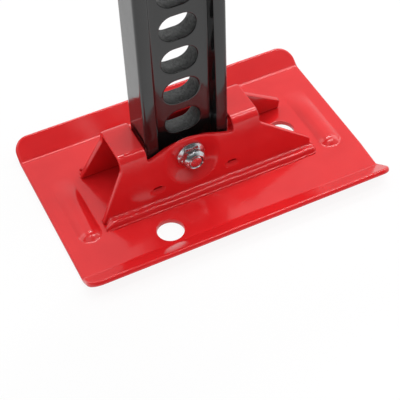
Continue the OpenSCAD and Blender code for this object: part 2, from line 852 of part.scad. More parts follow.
module socket_bolt() color(zinc) translate([tube_x, 0, 0]) at_bar(socket_bolt_z) {
    rod_y(socket_bolt_d, -cup_d / 2 - bolt_head_h - nut_flange_h, cup_d / 2);
    bolt_head(bolt_head_af, bolt_head_h, nut_flange_d, nut_flange_h, cup_d / 2, 1);
}

module socket_nut() color(zinc) translate([tube_x, 0, 0]) at_bar(socket_bolt_z)
    difference() {
        bolt_head(bolt_head_af, bolt_head_h - bolt_stick_out, nut_flange_d, nut_flange_h,
            -cup_d / 2, -1);
        rod_y(socket_bolt_d + 2 * thread_gap, -cup_d, 0);
    }

// Pitman: a flat link with a round eye at each end, between two planes of Y
module pitman_plate(y0, y1) {
    difference() {
        slab_xz(y0, y1) {
            translate([crank_x, crank_z]) circle(pitman_top_r);
            translate([crank_x, link_z]) circle(pitman_foot_r);
            translate([crank_x - pitman_waist_w / 2 - pitman_waist_shift, link_z])
                square([pitman_waist_w, crank_z - link_z]);
        }
        translate([crank_x, 0, crank_z]) rod_y(pitman_pin_d + 2 * run_gap, y0 - over, y1 + over);
        translate([crank_x, 0, link_z]) rod_y(pitman_foot_hole_d, y0 - over, y1 + over);
    }
}

module pitman_front() color(red_paint) at_bar(0) pitman_plate(-pitman_out, -pitman_in);

module pitman_back() color(red_paint) at_bar(0) pitman_plate(pitman_in, pitman_out);

module pitman_pins() color(zinc) translate([crank_x, 0, 0]) at_bar(crank_z)
    for (s = [0, 1]) mirror([0, s, 0]) {
        rod_y(pitman_pin_d, cheek_in, pitman_out + side_gap);
        rod_y(pitman_pin_head_d, pitman_out + side_gap, pitman_out + side_gap + pitman_pin_head_h);
    }

module small_runner() color(red_paint) at_bar(0)
    difference() {
        union() {
            runner_sleeve(small_z - small_down, small_z + small_up);
            slab_xz(-cheek_out, cheek_out)
                lug_outline(link_x, link_z, link_lug_r, small_up - rib_h, small_down - rib_h);
            pin_boss(small_z);
        }
        pin_holes(small_z);
        translate([link_x, 0, link_z]) rod_y(pitman_bolt_d + 2 * thread_gap, -bracket_w, bracket_w);
    }

module pitman_bolt() color(zinc) translate([link_x, 0, 0]) at_bar(link_z) {
    seat = pitman_out + side_gap;
    rod_y(pitman_bolt_d, -seat - pitman_bolt_head_h - pitman_bolt_hex_h, seat);
    bolt_head(pitman_bolt_hex_af, pitman_bolt_hex_h, pitman_bolt_head_d, pitman_bolt_head_h,
        seat, 1);
}

module pitman_nut() color(zinc) translate([link_x, 0, 0]) at_bar(link_z)
    difference() {
        bolt_head(pitman_bolt_hex_af, pitman_bolt_hex_h - bolt_stick_out, pitman_bolt_head_d,
            pitman_bolt_head_h, -pitman_out - side_gap, -1);
        rod_y(pitman_bolt_d + 2 * thread_gap, -bracket_w, 0);
    }

// Climbing pin at height z, with a bevelled tip and a hole for its cross pin
module climbing_pin(z) {
    at_bar(z) difference() {
        rod_y(pin_d, pin_tail_y, pin_tip_y);
        translate([0, cross_y, 0]) rod_x(cross_d + 2 * thread_gap, -pin_d, pin_d);
        slab_yz(-pin_d, pin_d) polygon([
            [pin_tip_y + over, pin_d / 2 + over],
            [pin_tip_y - pin_bevel_l, pin_d / 2 + over],
            [pin_tip_y - pin_bevel_l, pin_d / 2],
            [pin_tip_y, pin_d / 2 - pin_bevel_h],
            [pin_tip_y + over, pin_d / 2 - pin_bevel_h]
        ]);
    }
}

module cross_pin(z) {
    at_bar(z) translate([0, cross_y, 0]) rod_x(cross_d, -cross_l / 2, cross_l / 2);
}

// Coil spring around a climbing pin: rings of the wire's section along a helix
function helix_point(i, k) =
    let (turn = 360 * i / spring_rings,
        start_y = spring_inner_y - wire_d / 2,
        run = (start_y - spring_outer_y - wire_d / 2) / (spring_turns * spring_rings),
        y = start_y - run * i,
        a = 360 * k / spring_sides,
        r = spring_mean_r + wire_d / 2 * cos(a))
    [r * cos(turn), y + wire_d / 2 * sin(a), r * sin(turn)];

spring_last = spring_turns * spring_rings;
spring_points = [for (i = [0:spring_last], k = [0:spring_sides - 1]) helix_point(i, k)];
spring_faces = concat(
    [[for (k = [0:spring_sides - 1]) k]],
    [for (i = [0:spring_last - 1], k = [0:spring_sides - 1]) each [
        [i * spring_sides + k, (i + 1) * spring_sides + k,
            (i + 1) * spring_sides + (k + 1) % spring_sides],
        [i * spring_sides + k, (i + 1) * spring_sides + (k + 1) % spring_sides,
            i * spring_sides + (k + 1) % spring_sides]]],
    [[for (k = [spring_sides - 1:-1:0]) spring_last * spring_sides + k]]);

// Least gap between neighbouring coils, measured on the middle of the wire
function ring_middle(i) = (helix_point(i, 0) + helix_point(i, spring_sides / 2)) / 2;
spring_gap = min([for (i = [0:spring_last - spring_rings], j = [i + spring_rings / 2:spring_last])
    norm(ring_middle(i) - ring_middle(j))]) - wire_d;
echo(spring_gap = spring_gap);

module pin_spring(z) {
    at_bar(z) polyhedron(points = spring_points, faces = spring_faces, convexity = 10);
}

module upper_climbing_pin() color(zinc) climbing_pin(large_z);
module upper_cross_pin() color(dark_zinc) cross_pin(large_z);
module upper_pin_spring() color(dark_zinc) pin_spring(large_z);
module lower_climbing_pin() color(zinc) climbing_pin(small_z);
module lower_cross_pin() color(dark_zinc) cross_pin(small_z);
module lower_pin_spring() color(dark_zinc) pin_spring(small_z);

// Side plate of the latch: an arm that ends in a claw beside the cross pin
module latch_side_outline() {
    top = latch_hub_up + latch_web_t;
    polygon([
        [latch_start_y, top],
        [latch_tip_y, top - latch_droop],
        [latch_tip_y, latch_hub_up - latch_droop],
        [cross_y - 2 * cross_d, latch_hub_up - latch_hub_r],
        [cross_y - cross_d, -latch_claw_drop],
        [cross_y + cross_d, -latch_claw_drop],
        [cross_y + 2 * cross_d, latch_hub_up - latch_hub_r],
        [latch_start_y, latch_hub_up - latch_hub_r]
    ]);
}

// Web of the latch, from beyond its lugs to the thumb tab
module latch_web_outline() {
    top = latch_hub_up + latch_web_t;
    polygon([
        [latch_start_y, top],
        [latch_tip_y - latch_thumb_l, top - latch_droop],
        [latch_tip_y - latch_thumb_l, latch_hub_up - latch_droop],
        [latch_start_y, latch_hub_up]
    ]);
}

module reversing_latch() color(red_paint) at_bar(large_z)
    difference() {
        union() {
            slab_yz(-latch_hub_half, latch_hub_half) {
                translate([latch_hub_y, latch_hub_up]) circle(latch_hub_r);
                translate([latch_start_y - over, latch_hub_up])
                    square([latch_hub_y - latch_start_y + over, latch_web_t]);
            }
            slab_yz(-latch_plate_out, latch_plate_out) latch_web_outline();
            slab_yz(latch_plate_in, latch_plate_out) latch_side_outline();
            slab_yz(-latch_plate_out, -latch_plate_in) latch_side_outline();
        }
        translate([0, latch_hub_y, latch_hub_up])
            rod_x(latch_pin_d + 2 * run_gap, -runner_out_x, runner_out_x);
    }

// Cheek of the clevis: a plate beside the bar with an eye above it
module clevis_outline() {
    polygon([
        [clevis_back_x, clevis_low_z],
        [clevis_front_x, clevis_low_z],
        [clevis_front_x, clevis_low_z + jaw_root_h],
        [eye_x + eye_d / 2 + eye_rim, eye_z],
        [eye_x - eye_d / 2 - eye_rim, eye_z],
        [clevis_back_x, bar_top_z + clevis_cap]
    ]);
    translate([eye_x, eye_z]) circle(eye_d / 2 + eye_rim);
}

module top_clevis() color(red_paint) at_bar(0)
    difference() {
        union() {
            for (s = [0, 1]) mirror([0, s, 0]) slab_xz(clevis_in, clevis_out) clevis_outline();
            translate([clevis_back_x, -clevis_out, clevis_low_z])
                cube([clevis_t, 2 * clevis_out, bar_top_z + clevis_cap - clevis_low_z]);
        }
        translate([0, 0, clamp_z]) rod_y(clamp_bolt_d + 2 * run_gap, -bracket_w, bracket_w);
        translate([jaw_bolt_x, 0, jaw_bolt_z]) rod_y(jaw_bolt_d + 2 * run_gap, -bracket_w, bracket_w);
        translate([eye_x, 0, eye_z]) rod_y(eye_d, -bracket_w, bracket_w);
        for (s = [-1, 1]) translate([0, s * clip_screw_y, clip_z])
            rod_x(clip_screw_d + 2 * thread_gap, clevis_back_x - over, clevis_back_x + clevis_t + over);
    }

// Clamp jaw: a root between the cheeks and an arm with a flat underside
module clamp_jaw() color(red_paint) at_bar(0)
    difference() {
        union() {
            slab_xz(-clevis_in + jaw_fit, clevis_in - jaw_fit) translate([jaw_left_x, jaw_z])
                square([clevis_front_x + over - jaw_left_x, jaw_root_h]);
            slab_xz(-jaw_w / 2, jaw_w / 2) polygon([
                [clevis_front_x + jaw_fit, jaw_z],
                [jaw_left_x + jaw_reach, jaw_z],
                [jaw_left_x + jaw_reach, jaw_z + jaw_tip_h],
                [clevis_front_x + jaw_h / 2, jaw_z + jaw_h],
                [clevis_front_x + jaw_fit, jaw_z + jaw_root_h]
            ]);
        }
        translate([jaw_bolt_x, 0, jaw_bolt_z]) rod_y(jaw_bolt_d + 2 * run_gap, -bracket_w, bracket_w);
    }

module clamp_bolt() color(zinc) at_bar(clamp_z) {
    rod_y(clamp_bolt_d, -clevis_out - clamp_washer_h - clamp_head_h, clevis_out);
    bolt_head(clamp_head_af, clamp_head_h, clamp_washer_d, clamp_washer_h, clevis_out, 1);
}

module clamp_nut() color(zinc) at_bar(clamp_z)
    difference() {
        bolt_head(clamp_head_af, clamp_head_h - bolt_stick_out, clamp_washer_d, clamp_washer_h,
            -clevis_out, -1);
        rod_y(clamp_bolt_d + 2 * thread_gap, -bracket_w, 0);
    }

module jaw_bolt() color(zinc) translate([jaw_bolt_x, 0, 0]) at_bar(jaw_bolt_z) {
    rod_y(jaw_bolt_d, -clevis_out - clamp_washer_h - jaw_head_h, clevis_out);
    bolt_head(jaw_head_af, jaw_head_h, jaw_washer_d, clamp_washer_h, clevis_out, 1);
}

module jaw_nut() color(zinc) translate([jaw_bolt_x, 0, 0]) at_bar(jaw_bolt_z)
    difference() {
        bolt_head(jaw_head_af, jaw_head_h - bolt_stick_out, jaw_washer_d, clamp_washer_h,
            -clevis_out, -1);
        rod_y(jaw_bolt_d + 2 * thread_gap, -bracket_w, 0);
    }

// Spring clip: a half ring around the parked tube, a stem and a foot on the clevis
module handle_clip() color(dark_zinc) at_bar(clip_z - clip_h / 2)
    difference() {
        linear_extrude(clip_h) {
            intersection() {
                translate([tube_x, 0]) difference() {
                    circle(tube_d / 2 + clip_gap + clip_t);
                    circle(tube_d / 2 + clip_gap);
                }
                translate([tube_x, -tube_d]) square(2 * tube_d);
            }
            translate([tube_x + tube_d / 2 + clip_gap + clip_t / 2, -clip_stem_w / 2])
                square([clevis_back_x - tube_x - tube_d / 2 - clip_gap - clip_t / 2, clip_stem_w]);
            translate([clevis_back_x - clip_t, -clip_foot_w / 2]) square([clip_t, clip_foot_w]);
        }
        for (s = [-1, 1]) translate([0, s * clip_screw_y, clip_h / 2])
            rod_x(clip_screw_d + 2 * thread_gap, clevis_back_x - clip_t - over, clevis_back_x + over);
    }

module clip_screws() color(zinc) at_bar(clip_z)
    for (s = [-1, 1]) translate([clevis_back_x - clip_t, s * clip_screw_y, 0]) {
        rod_x(clip_head_d, -clip_head_h, 0);
        rod_x(clip_screw_d, 0, clip_screw_l);
    }

base_plate();
foot_bracket();
foot_welds();
rack_bar();
foot_bolt();
foot_nut();
top_clevis();
clamp_jaw();
clamp_bolt();
clamp_nut();
jaw_bolt();
jaw_nut();
handle_clip();
clip_screws();
large_runner();
pivot_bolt();
pivot_nut();
latch_pin();
handle_socket();
handle_tube();
handle_end_plug();
socket_bolt();
socket_nut();
pitman_pins();
pitman_front();
pitman_back();
small_runner();
pitman_bolt();
pitman_nut();
upper_climbing_pin();
upper_cross_pin();
upper_pin_spring();
lower_climbing_pin();
lower_cross_pin();
lower_pin_spring();
reversing_latch();
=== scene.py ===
# %% [markdown]
# # A high lift jack, dressed on its CAD model
# The jack stands on a pressed red base plate. A folded bracket, welded to the plate, holds the
# black slotted bar, and two cast runners climb the bar when the handle is pumped. The CAD model
# has every size and every joint. This lesson gives its pieces the look of pressed, cast, rolled
# and turned metal, and each piece rides on its CAD body.

# %% Load the frame
import math

import bmesh
import bpy
import numpy as np
from mathutils import Matrix, Vector, kdtree, noise
from mathutils.geometry import delaunay_2d_cdt


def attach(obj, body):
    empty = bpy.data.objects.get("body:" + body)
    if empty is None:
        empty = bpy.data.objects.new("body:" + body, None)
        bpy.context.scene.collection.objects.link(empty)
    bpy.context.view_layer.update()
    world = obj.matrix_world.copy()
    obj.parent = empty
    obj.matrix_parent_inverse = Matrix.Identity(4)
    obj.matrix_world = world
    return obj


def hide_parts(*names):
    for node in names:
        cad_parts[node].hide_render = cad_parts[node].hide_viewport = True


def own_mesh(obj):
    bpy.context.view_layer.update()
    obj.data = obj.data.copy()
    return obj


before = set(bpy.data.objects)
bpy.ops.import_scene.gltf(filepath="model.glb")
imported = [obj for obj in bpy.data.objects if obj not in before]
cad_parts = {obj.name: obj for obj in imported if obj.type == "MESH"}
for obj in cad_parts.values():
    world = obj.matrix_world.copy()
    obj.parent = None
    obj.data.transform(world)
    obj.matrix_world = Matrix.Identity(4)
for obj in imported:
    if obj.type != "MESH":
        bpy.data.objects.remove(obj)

MM = 0.001
scene = bpy.context.scene
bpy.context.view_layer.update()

# %% [markdown]
# ## The camera
# The photograph looks down on the foot of the jack from its front left. A camera can be given by
# the point that it looks at, the direction back from there, the distance and the lens. These
# values were found by fitting the plate's corners, its holes and the bar's slots.

# %% Camera
CAMERA_AZIMUTH = math.radians(-24.09)
CAMERA_HEIGHT = math.radians(47.79)
CAMERA_ROLL = math.radians(-2.57)
CAMERA_DISTANCE = 632.27 * MM
CAMERA_TARGET = Vector((-10.43, -22.88, 0)) * MM
LENS, SENSOR_WIDTH = 103.0, 36.0

back = Vector((math.sin(CAMERA_AZIMUTH) * math.cos(CAMERA_HEIGHT),
               -math.cos(CAMERA_AZIMUTH) * math.cos(CAMERA_HEIGHT), math.sin(CAMERA_HEIGHT)))
level = Vector((math.cos(CAMERA_AZIMUTH), math.sin(CAMERA_AZIMUTH), 0))
upright = back.cross(level)
right = math.cos(CAMERA_ROLL) * level + math.sin(CAMERA_ROLL) * upright
up = math.cos(CAMERA_ROLL) * upright - math.sin(CAMERA_ROLL) * level
lens = bpy.data.cameras.new("camera")
lens.sensor_width = SENSOR_WIDTH
lens.sensor_fit = "HORIZONTAL"
lens.lens = LENS
lens.clip_start, lens.clip_end = 0.01, 100
camera = bpy.data.objects.new("camera", lens)
camera.matrix_world = Matrix.Translation(CAMERA_TARGET + back * CAMERA_DISTANCE) @ Matrix(
    (right, up, back)).transposed().to_4x4()
scene.collection.objects.link(camera)
scene.camera = camera
scene.view_settings.view_transform = "Standard"
print("camera at", tuple(round(c, 3) for c in camera.matrix_world.translation))


# %% [markdown]
# ## Colours and nodes
# Paint colours are read off as sRGB hex values, and a shader wants linear light, so one function
# turns the first into the second. One more function adds a node with its settings and links.

# %% Helpers for materials
def linear(hex_code):
    """The linear colour of an sRGB hex value."""
    parts = [int(hex_code[i:i + 2], 16) / 255 for i in (1, 3, 5)]
    return tuple(p / 12.92 if p <= 0.04045 else ((p + 0.055) / 1.055) ** 2.4
                 for p in parts) + (1.0,)


def add(tree, kind, links=None, **settings):
    """A new node: links gives its inputs by name or number, each as a value, a socket, or a
    list of sockets that one input takes together."""
    node = tree.nodes.new(kind)
    for key, value in settings.items():
        setattr(node, key, value)
    for key, value in (links or {}).items():
        sockets = value if isinstance(value, list) else [value]
        if isinstance(sockets[0], bpy.types.NodeSocket):
            for socket in sockets:
                tree.links.new(socket, node.inputs[key])
        else:
            node.inputs[key].default_value = value
    return node


def new_material(name):
    """An empty material with its output node."""
    material = bpy.data.materials.new(name)
    material.use_nodes = True
    material.node_tree.nodes.clear()
    output = add(material.node_tree, "ShaderNodeOutputMaterial")
    return material, material.node_tree, output


print("red paint in linear light", [round(c, 3) for c in linear("#D21B20")])

# %% [markdown]
# ## Floor, light and world
# A product photograph is taken on a white sweep under large soft lamps. The floor is a big white
# sheet. What the camera and the reflections see of it is mostly its own white, so the background
# stays clean, and the rest is lit, so the shadow stays too. The large lamps stand above and
# behind, so that flat faces are bright and the faces towards the camera are deeper. Two narrow
# strips overhead draw the thin bright lines along the folds, the edges and the welds.

# %% Floor
FLOOR_HALF = 10.0
FLOOR_OWN_WHITE = 0.9
FLOOR_COLOUR = (0.9, 0.9, 0.9, 1)


def seen_rays(tree):
    """1 for what the camera sees, straight or in a reflection or through glass, and the path."""
    path = add(tree, "ShaderNodeLightPath")
    seen = path.outputs["Is Camera Ray"]
    for kind in ("Is Glossy Ray", "Is Transmission Ray"):
        seen = add(tree, "ShaderNodeMath", {0: seen, 1: path.outputs[kind]},
                   operation="MAXIMUM").outputs[0]
    return seen, path


material_floor, tree, output = new_material("white_sweep")
seen, path = seen_rays(tree)
share = add(tree, "ShaderNodeMath", {0: seen, 1: FLOOR_OWN_WHITE}, operation="MULTIPLY")
lit = add(tree, "ShaderNodeBsdfDiffuse", {"Color": FLOOR_COLOUR})
own = add(tree, "ShaderNodeEmission", {"Color": (1, 1, 1, 1), "Strength": 1.0})
both = add(tree, "ShaderNodeMixShader", {0: share.outputs[0], 1: lit.outputs[0],
                                         2: own.outputs[0]})
tree.links.new(both.outputs[0], output.inputs["Surface"])

floor_mesh = bpy.data.meshes.new("floor")
floor_mesh.from_pydata([(-FLOOR_HALF, -FLOOR_HALF, 0), (FLOOR_HALF, -FLOOR_HALF, 0),
                        (FLOOR_HALF, FLOOR_HALF, 0), (-FLOOR_HALF, FLOOR_HALF, 0)],
                       [], [(0, 1, 2, 3)])
floor_mesh.materials.append(material_floor)
floor = bpy.data.objects.new("floor", floor_mesh)
scene.collection.objects.link(floor)
print("floor", 2 * FLOOR_HALF, "m wide")

# %% Lamps
def softbox(name, place, width, depth, power):
    """A lamp at place that faces the foot of the jack, with its width along X."""
    data = bpy.data.lights.new(name, "AREA")
    data.shape = "RECTANGLE"
    data.size, data.size_y = width, depth
    data.energy = power
    lamp = bpy.data.objects.new(name, data)
    away = Vector(place).normalized()
    along = (Vector((1, 0, 0)) - away * away.x).normalized()
    turn = Matrix((along, away.cross(along), away)).transposed()
    lamp.matrix_world = Matrix.Translation(place) @ turn.to_4x4()
    scene.collection.objects.link(lamp)


softbox("lamp_strip", (0.54, 0.74, 1.78), 1.2, 0.22, 12)
softbox("lamp_left_back", (-1.68, 0.96, 2.31), 1.6, 1.6, 15)
softbox("lamp_right_back", (2.3, 0.74, 1.71), 1.6, 1.6, 18)
softbox("lamp_strip_front", (0.54, -0.2, 1.91), 1.2, 0.22, 9)
softbox("lamp_front", (-0.6, -0.8, 2.25), 1.4, 1.4, 5.5)
print(len(bpy.data.lights), "lamps")

# %% World
# Even room light on the object, and walls that are white behind and dark in front of it, which
# only its reflections see
ROOM_LIGHT = 0.5
BRIGHT_SIDE = (0.9, 1.0, 0.0)
DARK_WALL, WHITE_WALL = 0.1, 1.0
DARK_FROM, WHITE_FROM = -0.35, 0.2

world = bpy.data.worlds.new("studio")
scene.world = world
world.use_nodes = True
tree = world.node_tree
tree.nodes.clear()
seen, path = seen_rays(tree)
direction = add(tree, "ShaderNodeTexCoord").outputs["Generated"]
side = add(tree, "ShaderNodeVectorMath", {0: direction, 1: BRIGHT_SIDE}, operation="DOT_PRODUCT")
wall = add(tree, "ShaderNodeMapRange", {
    "Value": side.outputs["Value"], "From Min": DARK_FROM, "From Max": WHITE_FROM,
    "To Min": DARK_WALL, "To Max": WHITE_WALL})
wall = add(tree, "ShaderNodeMath", {0: wall.outputs[0], 1: path.outputs["Is Camera Ray"]},
           operation="MAXIMUM")
level_here = add(tree, "ShaderNodeMix", {0: seen, 2: ROOM_LIGHT, 3: wall.outputs[0]},
                 data_type="FLOAT")
room = add(tree, "ShaderNodeBackground", {"Color": (1, 1, 1, 1),
                                          "Strength": level_here.outputs[0]})
output = add(tree, "ShaderNodeOutputWorld")
tree.links.new(room.outputs[0], output.inputs["Surface"])
print("a room of light", ROOM_LIGHT)

# %% [markdown]
# ## Finishes
# The plate, the bracket and the castings are baked red enamel: a glossy paint film a tenth of a
# millimetre thick. It flows before it bakes, so its surface has an orange peel of about 1.5 mm
# and long soft waves from the sheet below. The castings show the grain of their sand mould
# through the same paint. The bar is black enamel over rolled steel, and the walls of its punched
# slots are torn and rough. Fasteners are bright zinc, springs and cross pins oiled steel.
#
# All of these are one recipe with other numbers: two near colours that cloud into each other, a
# gloss that varies a little, and layers of fine relief. Each scale is a real size in millimetres.


# %% The recipe of a finish
def grain(tree, size_mm, detail=2.0, roughness=0.5, stretch=(1, 1, 1)):
    """Noise whose features are about size_mm wide, on the piece's own metres."""
    place = add(tree, "ShaderNodeTexCoord").outputs["Object"]
    if stretch != (1, 1, 1):
        place = add(tree, "ShaderNodeMapping", {0: place, "Scale": stretch}).outputs[0]
    return add(tree, "ShaderNodeTexNoise", {
        "Vector": place, "Scale": 1 / (size_mm * MM), "Detail": detail,
        "Roughness": roughness}).outputs[0]


def varied(tree, size_mm, low, high, stretch=(1, 1, 1)):
    """A value that goes from low to high in spots of size_mm. Noise is mostly 0.3 to 0.7."""
    return add(tree, "ShaderNodeMapRange", {
        "Value": grain(tree, size_mm, stretch=stretch), "From Min": 0.3, "From Max": 0.7,
        "To Min": low, "To Max": high}).outputs[0]


def bumps(tree, layers):
    """Bump nodes in a row, each from a height value and its depth in millimetres."""
    normal = None
    for height, depth_mm in layers:
        links = {"Height": height, "Strength": 1.0, "Distance": depth_mm * MM}
        if normal is not None:
            links["Normal"] = normal
        normal = add(tree, "ShaderNodeBump", links).outputs[0]
    return normal


def make_finish(name, dark, light, gloss, layers_mm, cloud_mm=22, gloss_mm=9,
                stretch=(1, 1, 1), **own):
    """A material: two colours, a gloss range, relief of (size, depth), and the shader's own."""
    material, tree, output = new_material(name)
    # The colours of a Mix node are its inputs 6 and 7 and its output 2
    colour = add(tree, "ShaderNodeMix", {0: varied(tree, cloud_mm, 0, 1, stretch),
                                         6: linear(dark), 7: linear(light)}, data_type="RGBA")
    surface = add(tree, "ShaderNodeBsdfPrincipled", {
        "Base Color": colour.outputs[2], "Roughness": varied(tree, gloss_mm, *gloss),
        "Normal": bumps(tree, [(grain(tree, size, stretch=stretch), depth)
                               for size, depth in layers_mm]), **own})
    tree.links.new(surface.outputs[0], output.inputs["Surface"])
    return material


print("finishes can be mixed")

# %% Paint films
# Baked red enamel on pressed sheet: clear reflections that wave a little
red_enamel = make_finish("red_enamel_on_sheet", "#D51E22", "#DD2427", (0.12, 0.18),
                         [(14, 0.10), (1.6, 0.006)], IOR=1.5)
# The same paint over cast iron: the mould's sand makes the gloss break up
cast_red = make_finish("red_enamel_on_casting", "#C4181D", "#D01D22", (0.12, 0.24),
                       [(9, 0.12), (1.1, 0.035), (0.45, 0.012)], IOR=1.5)
# The same paint over weld metal: thicker, with pinholes and ripples
weld_red = make_finish("red_enamel_on_weld", "#CE1E22", "#D92529", (0.08, 0.16),
                       [(2.2, 0.03), (0.8, 0.012)], IOR=1.5)
# Black enamel on rolled steel: a deep gloss with the mill's long waves under it
black_enamel = make_finish("black_enamel_on_rolled_bar", "#0E0F0F", "#151617", (0.08, 0.15),
                           [(11, 0.08), (1.3, 0.008)], IOR=1.6)
# Black enamel on a drawn tube: the smoothest film on the jack
tube_enamel = make_finish("black_enamel_on_tube", "#0F1010", "#161718", (0.07, 0.13),
                          [(16, 0.05), (1.4, 0.005)], IOR=1.5)
print("red and black enamels")

# %% Torn steel
# Torn wall of a punched slot, with thin paint: dull, coarse and grey on its high spots
# The tears, the grit between them, and the heights of a tear where the black wears to grey
TEAR_MM, TEAR_DEPTH, TEAR_STRETCH = 0.9, 0.45, (1, 0.45, 1)
GRIT_MM, GRIT_DEPTH, DULL_MM = 0.35, 0.05, 1.4
BLACK_TO, GREY_FROM = 0.42, 0.52
slot_wall, tree, output = new_material("torn_slot_wall")
tear = grain(tree, TEAR_MM, detail=5, roughness=0.7, stretch=TEAR_STRETCH)
worn = add(tree, "ShaderNodeMapRange", {"Value": tear, "From Min": BLACK_TO,
                                        "From Max": GREY_FROM})
colour = add(tree, "ShaderNodeMix", {0: worn.outputs[0], 6: linear("#070707"),
                                     7: linear("#2B2D2C")}, data_type="RGBA")
torn = add(tree, "ShaderNodeBsdfPrincipled", {
    "Base Color": colour.outputs[2], "Roughness": varied(tree, DULL_MM, 0.35, 0.65),
    "Normal": bumps(tree, [(tear, TEAR_DEPTH), (grain(tree, GRIT_MM), GRIT_DEPTH)])})
tree.links.new(torn.outputs[0], output.inputs["Surface"])
print("torn slot walls")

# %% Bare and plated steel, and plastic
metal = {"cloud_mm": 3.5, "gloss_mm": 1.8, "Metallic": 1.0}
# Bright zinc plate: silver, softly mirrored, a little cloudy
zinc = make_finish("bright_zinc_plate", "#B4B7BB", "#D9DBDE", (0.16, 0.3), [(0.7, 0.008)], **metal)
# Oiled spring steel: darker, with drawing marks along the wire
spring_steel = make_finish("oiled_spring_steel", "#6C6F74", "#8F9398", (0.25, 0.4), [(0.6, 0.01)],
                           **metal)
# Ground pin steel: grey and even, with fine lines around the pin from grinding
pin_steel = make_finish("ground_pin_steel", "#9FA2A6", "#C3C6C9", (0.2, 0.32), [(0.5, 0.006)],
                        stretch=(0.3, 1, 0.3), **metal)
# Moulded black polyethylene: matt, with the mould's fine eroded texture
black_plastic = make_finish("moulded_polyethylene", "#17181A", "#202224", (0.42, 0.55),
                            [(0.5, 0.02)], cloud_mm=12, gloss_mm=5)
print(len(bpy.data.materials), "materials")


# %% [markdown]
# ## Putting a piece on the jack
# Each finished mesh becomes an object at the origin, with its place in its mesh. It rides on a
# body and, where it stands for a CAD node, replaces it. Faces are smooth except where they meet
# at more than a given angle, as on turned and milled metal.

# %% Helper for pieces
def put(name, mesh, body, finish, nodes=(), sharp=None):
    """A mesh as a piece that rides on a body and stands for the given CAD nodes."""
    mesh.name = name
    if finish is not None:
        mesh.materials.clear()
        mesh.materials.append(finish)
    mesh.shade_smooth()
    if sharp is not None:
        mesh.set_sharp_from_angle(angle=math.radians(sharp))
    piece = bpy.data.objects.new(name, mesh)
    scene.collection.objects.link(piece)
    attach(piece, body)
    if nodes:
        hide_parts(*nodes)
    return piece


def evaluated(thing):
    """A plain mesh of an object with its modifiers, which is then removed."""
    bpy.context.view_layer.update()
    graph = bpy.context.evaluated_depsgraph_get()
    mesh = bpy.data.meshes.new_from_object(thing.evaluated_get(graph))
    bpy.data.objects.remove(thing)
    return mesh


print("pieces can be put")


# %% [markdown]
# ## Sheet metal
# The plate and the bracket are cut flat, punched, pressed and bent. The mesh is made the same
# way. An outline with its holes is drawn on the flat sheet, filled with triangles, given a top
# and an underside with rounded edges between them, and then every point is carried to its place
# by a function that knows the bends and the pressed shapes.


# %% Outlines on the flat sheet
def rounded(corners, step):
    """A closed outline from corners (u, v, radius), as points at most a step apart."""
    outline = []
    for i, (u, v, radius) in enumerate(corners):
        here = Vector((u, v))
        if radius <= 0:
            outline.append(here)
            continue
        before = (Vector(corners[i - 1][:2]) - here).normalized()
        after = (Vector(corners[(i + 1) % len(corners)][:2]) - here).normalized()
        half = before.angle(after) / 2
        middle = here + (before + after).normalized() * (radius / math.sin(half))
        start = here + before * (radius / math.tan(half)) - middle
        sweep = math.pi - 2 * half
        if before.x * after.y - before.y * after.x > 0:
            sweep = -sweep
        turns = max(3, math.ceil(abs(sweep) * radius / step))
        outline.extend(middle + Matrix.Rotation(sweep * k / turns, 2) @ start
                       for k in range(turns + 1))
    dense = []
    for here, after in zip(outline, outline[1:] + outline[:1]):
        cuts = max(1, math.ceil((after - here).length / step))
        dense.extend(here.lerp(after, k / cuts) for k in range(cuts)
                     if (after - here).length > 1e-6)
    return dense


def circle_loop(u, v, radius, count=56):
    """A round hole, clockwise."""
    return [Vector((u + radius * math.cos(a), v - radius * math.sin(a)))
            for a in (2 * math.pi * k / count for k in range(count))]


def moved_in(loop, distance):
    """An outline moved to its left by a distance."""
    result = []
    for before, here, after in zip(loop[-1:] + loop[:-1], loop, loop[1:] + loop[:1]):
        first, second = (here - before).normalized(), (after - here).normalized()
        left, other = Vector((-first.y, first.x)), Vector((-second.y, second.x))
        middle = (left + other).normalized()
        result.append(here + middle * (distance / max(0.5, middle.dot(left))))
    return result


def inside(points, loop):
    """Which of the points lie inside a closed outline."""
    x, y = points[:, 0], points[:, 1]
    found = np.zeros(len(points), bool)
    ends = np.array([tuple(p) for p in loop])
    for (x0, y0), (x1, y1) in zip(ends, np.roll(ends, -1, axis=0)):
        if y0 != y1:
            crosses = (y0 > y) != (y1 > y)
            found ^= crosses & (x < x0 + (y - y0) * (x1 - x0) / (y1 - y0))
    return found


print("outlines can be drawn")


# %% Sheet with a thickness
# Steps in a rounded edge, the strip beside it that stays free of other points, and the least
# distance between two points as a share of their spacing
EDGE_TURNS = 3
CALM_STRIP = 0.35
LEAST_SHARE = 0.55
# Two rows of a staggered lattice are this share of the step apart
ROW_SHARE = 0.866


def on_sheet(points, loops, strip):
    """Which of the points lie on the flat of the sheet, a strip away from its edges."""
    (outline, radius), *holes = loops
    found = inside(points, moved_in(outline, radius + strip))
    for hole, radius in holes:
        found &= ~inside(points, moved_in(hole, radius + strip))
    return found


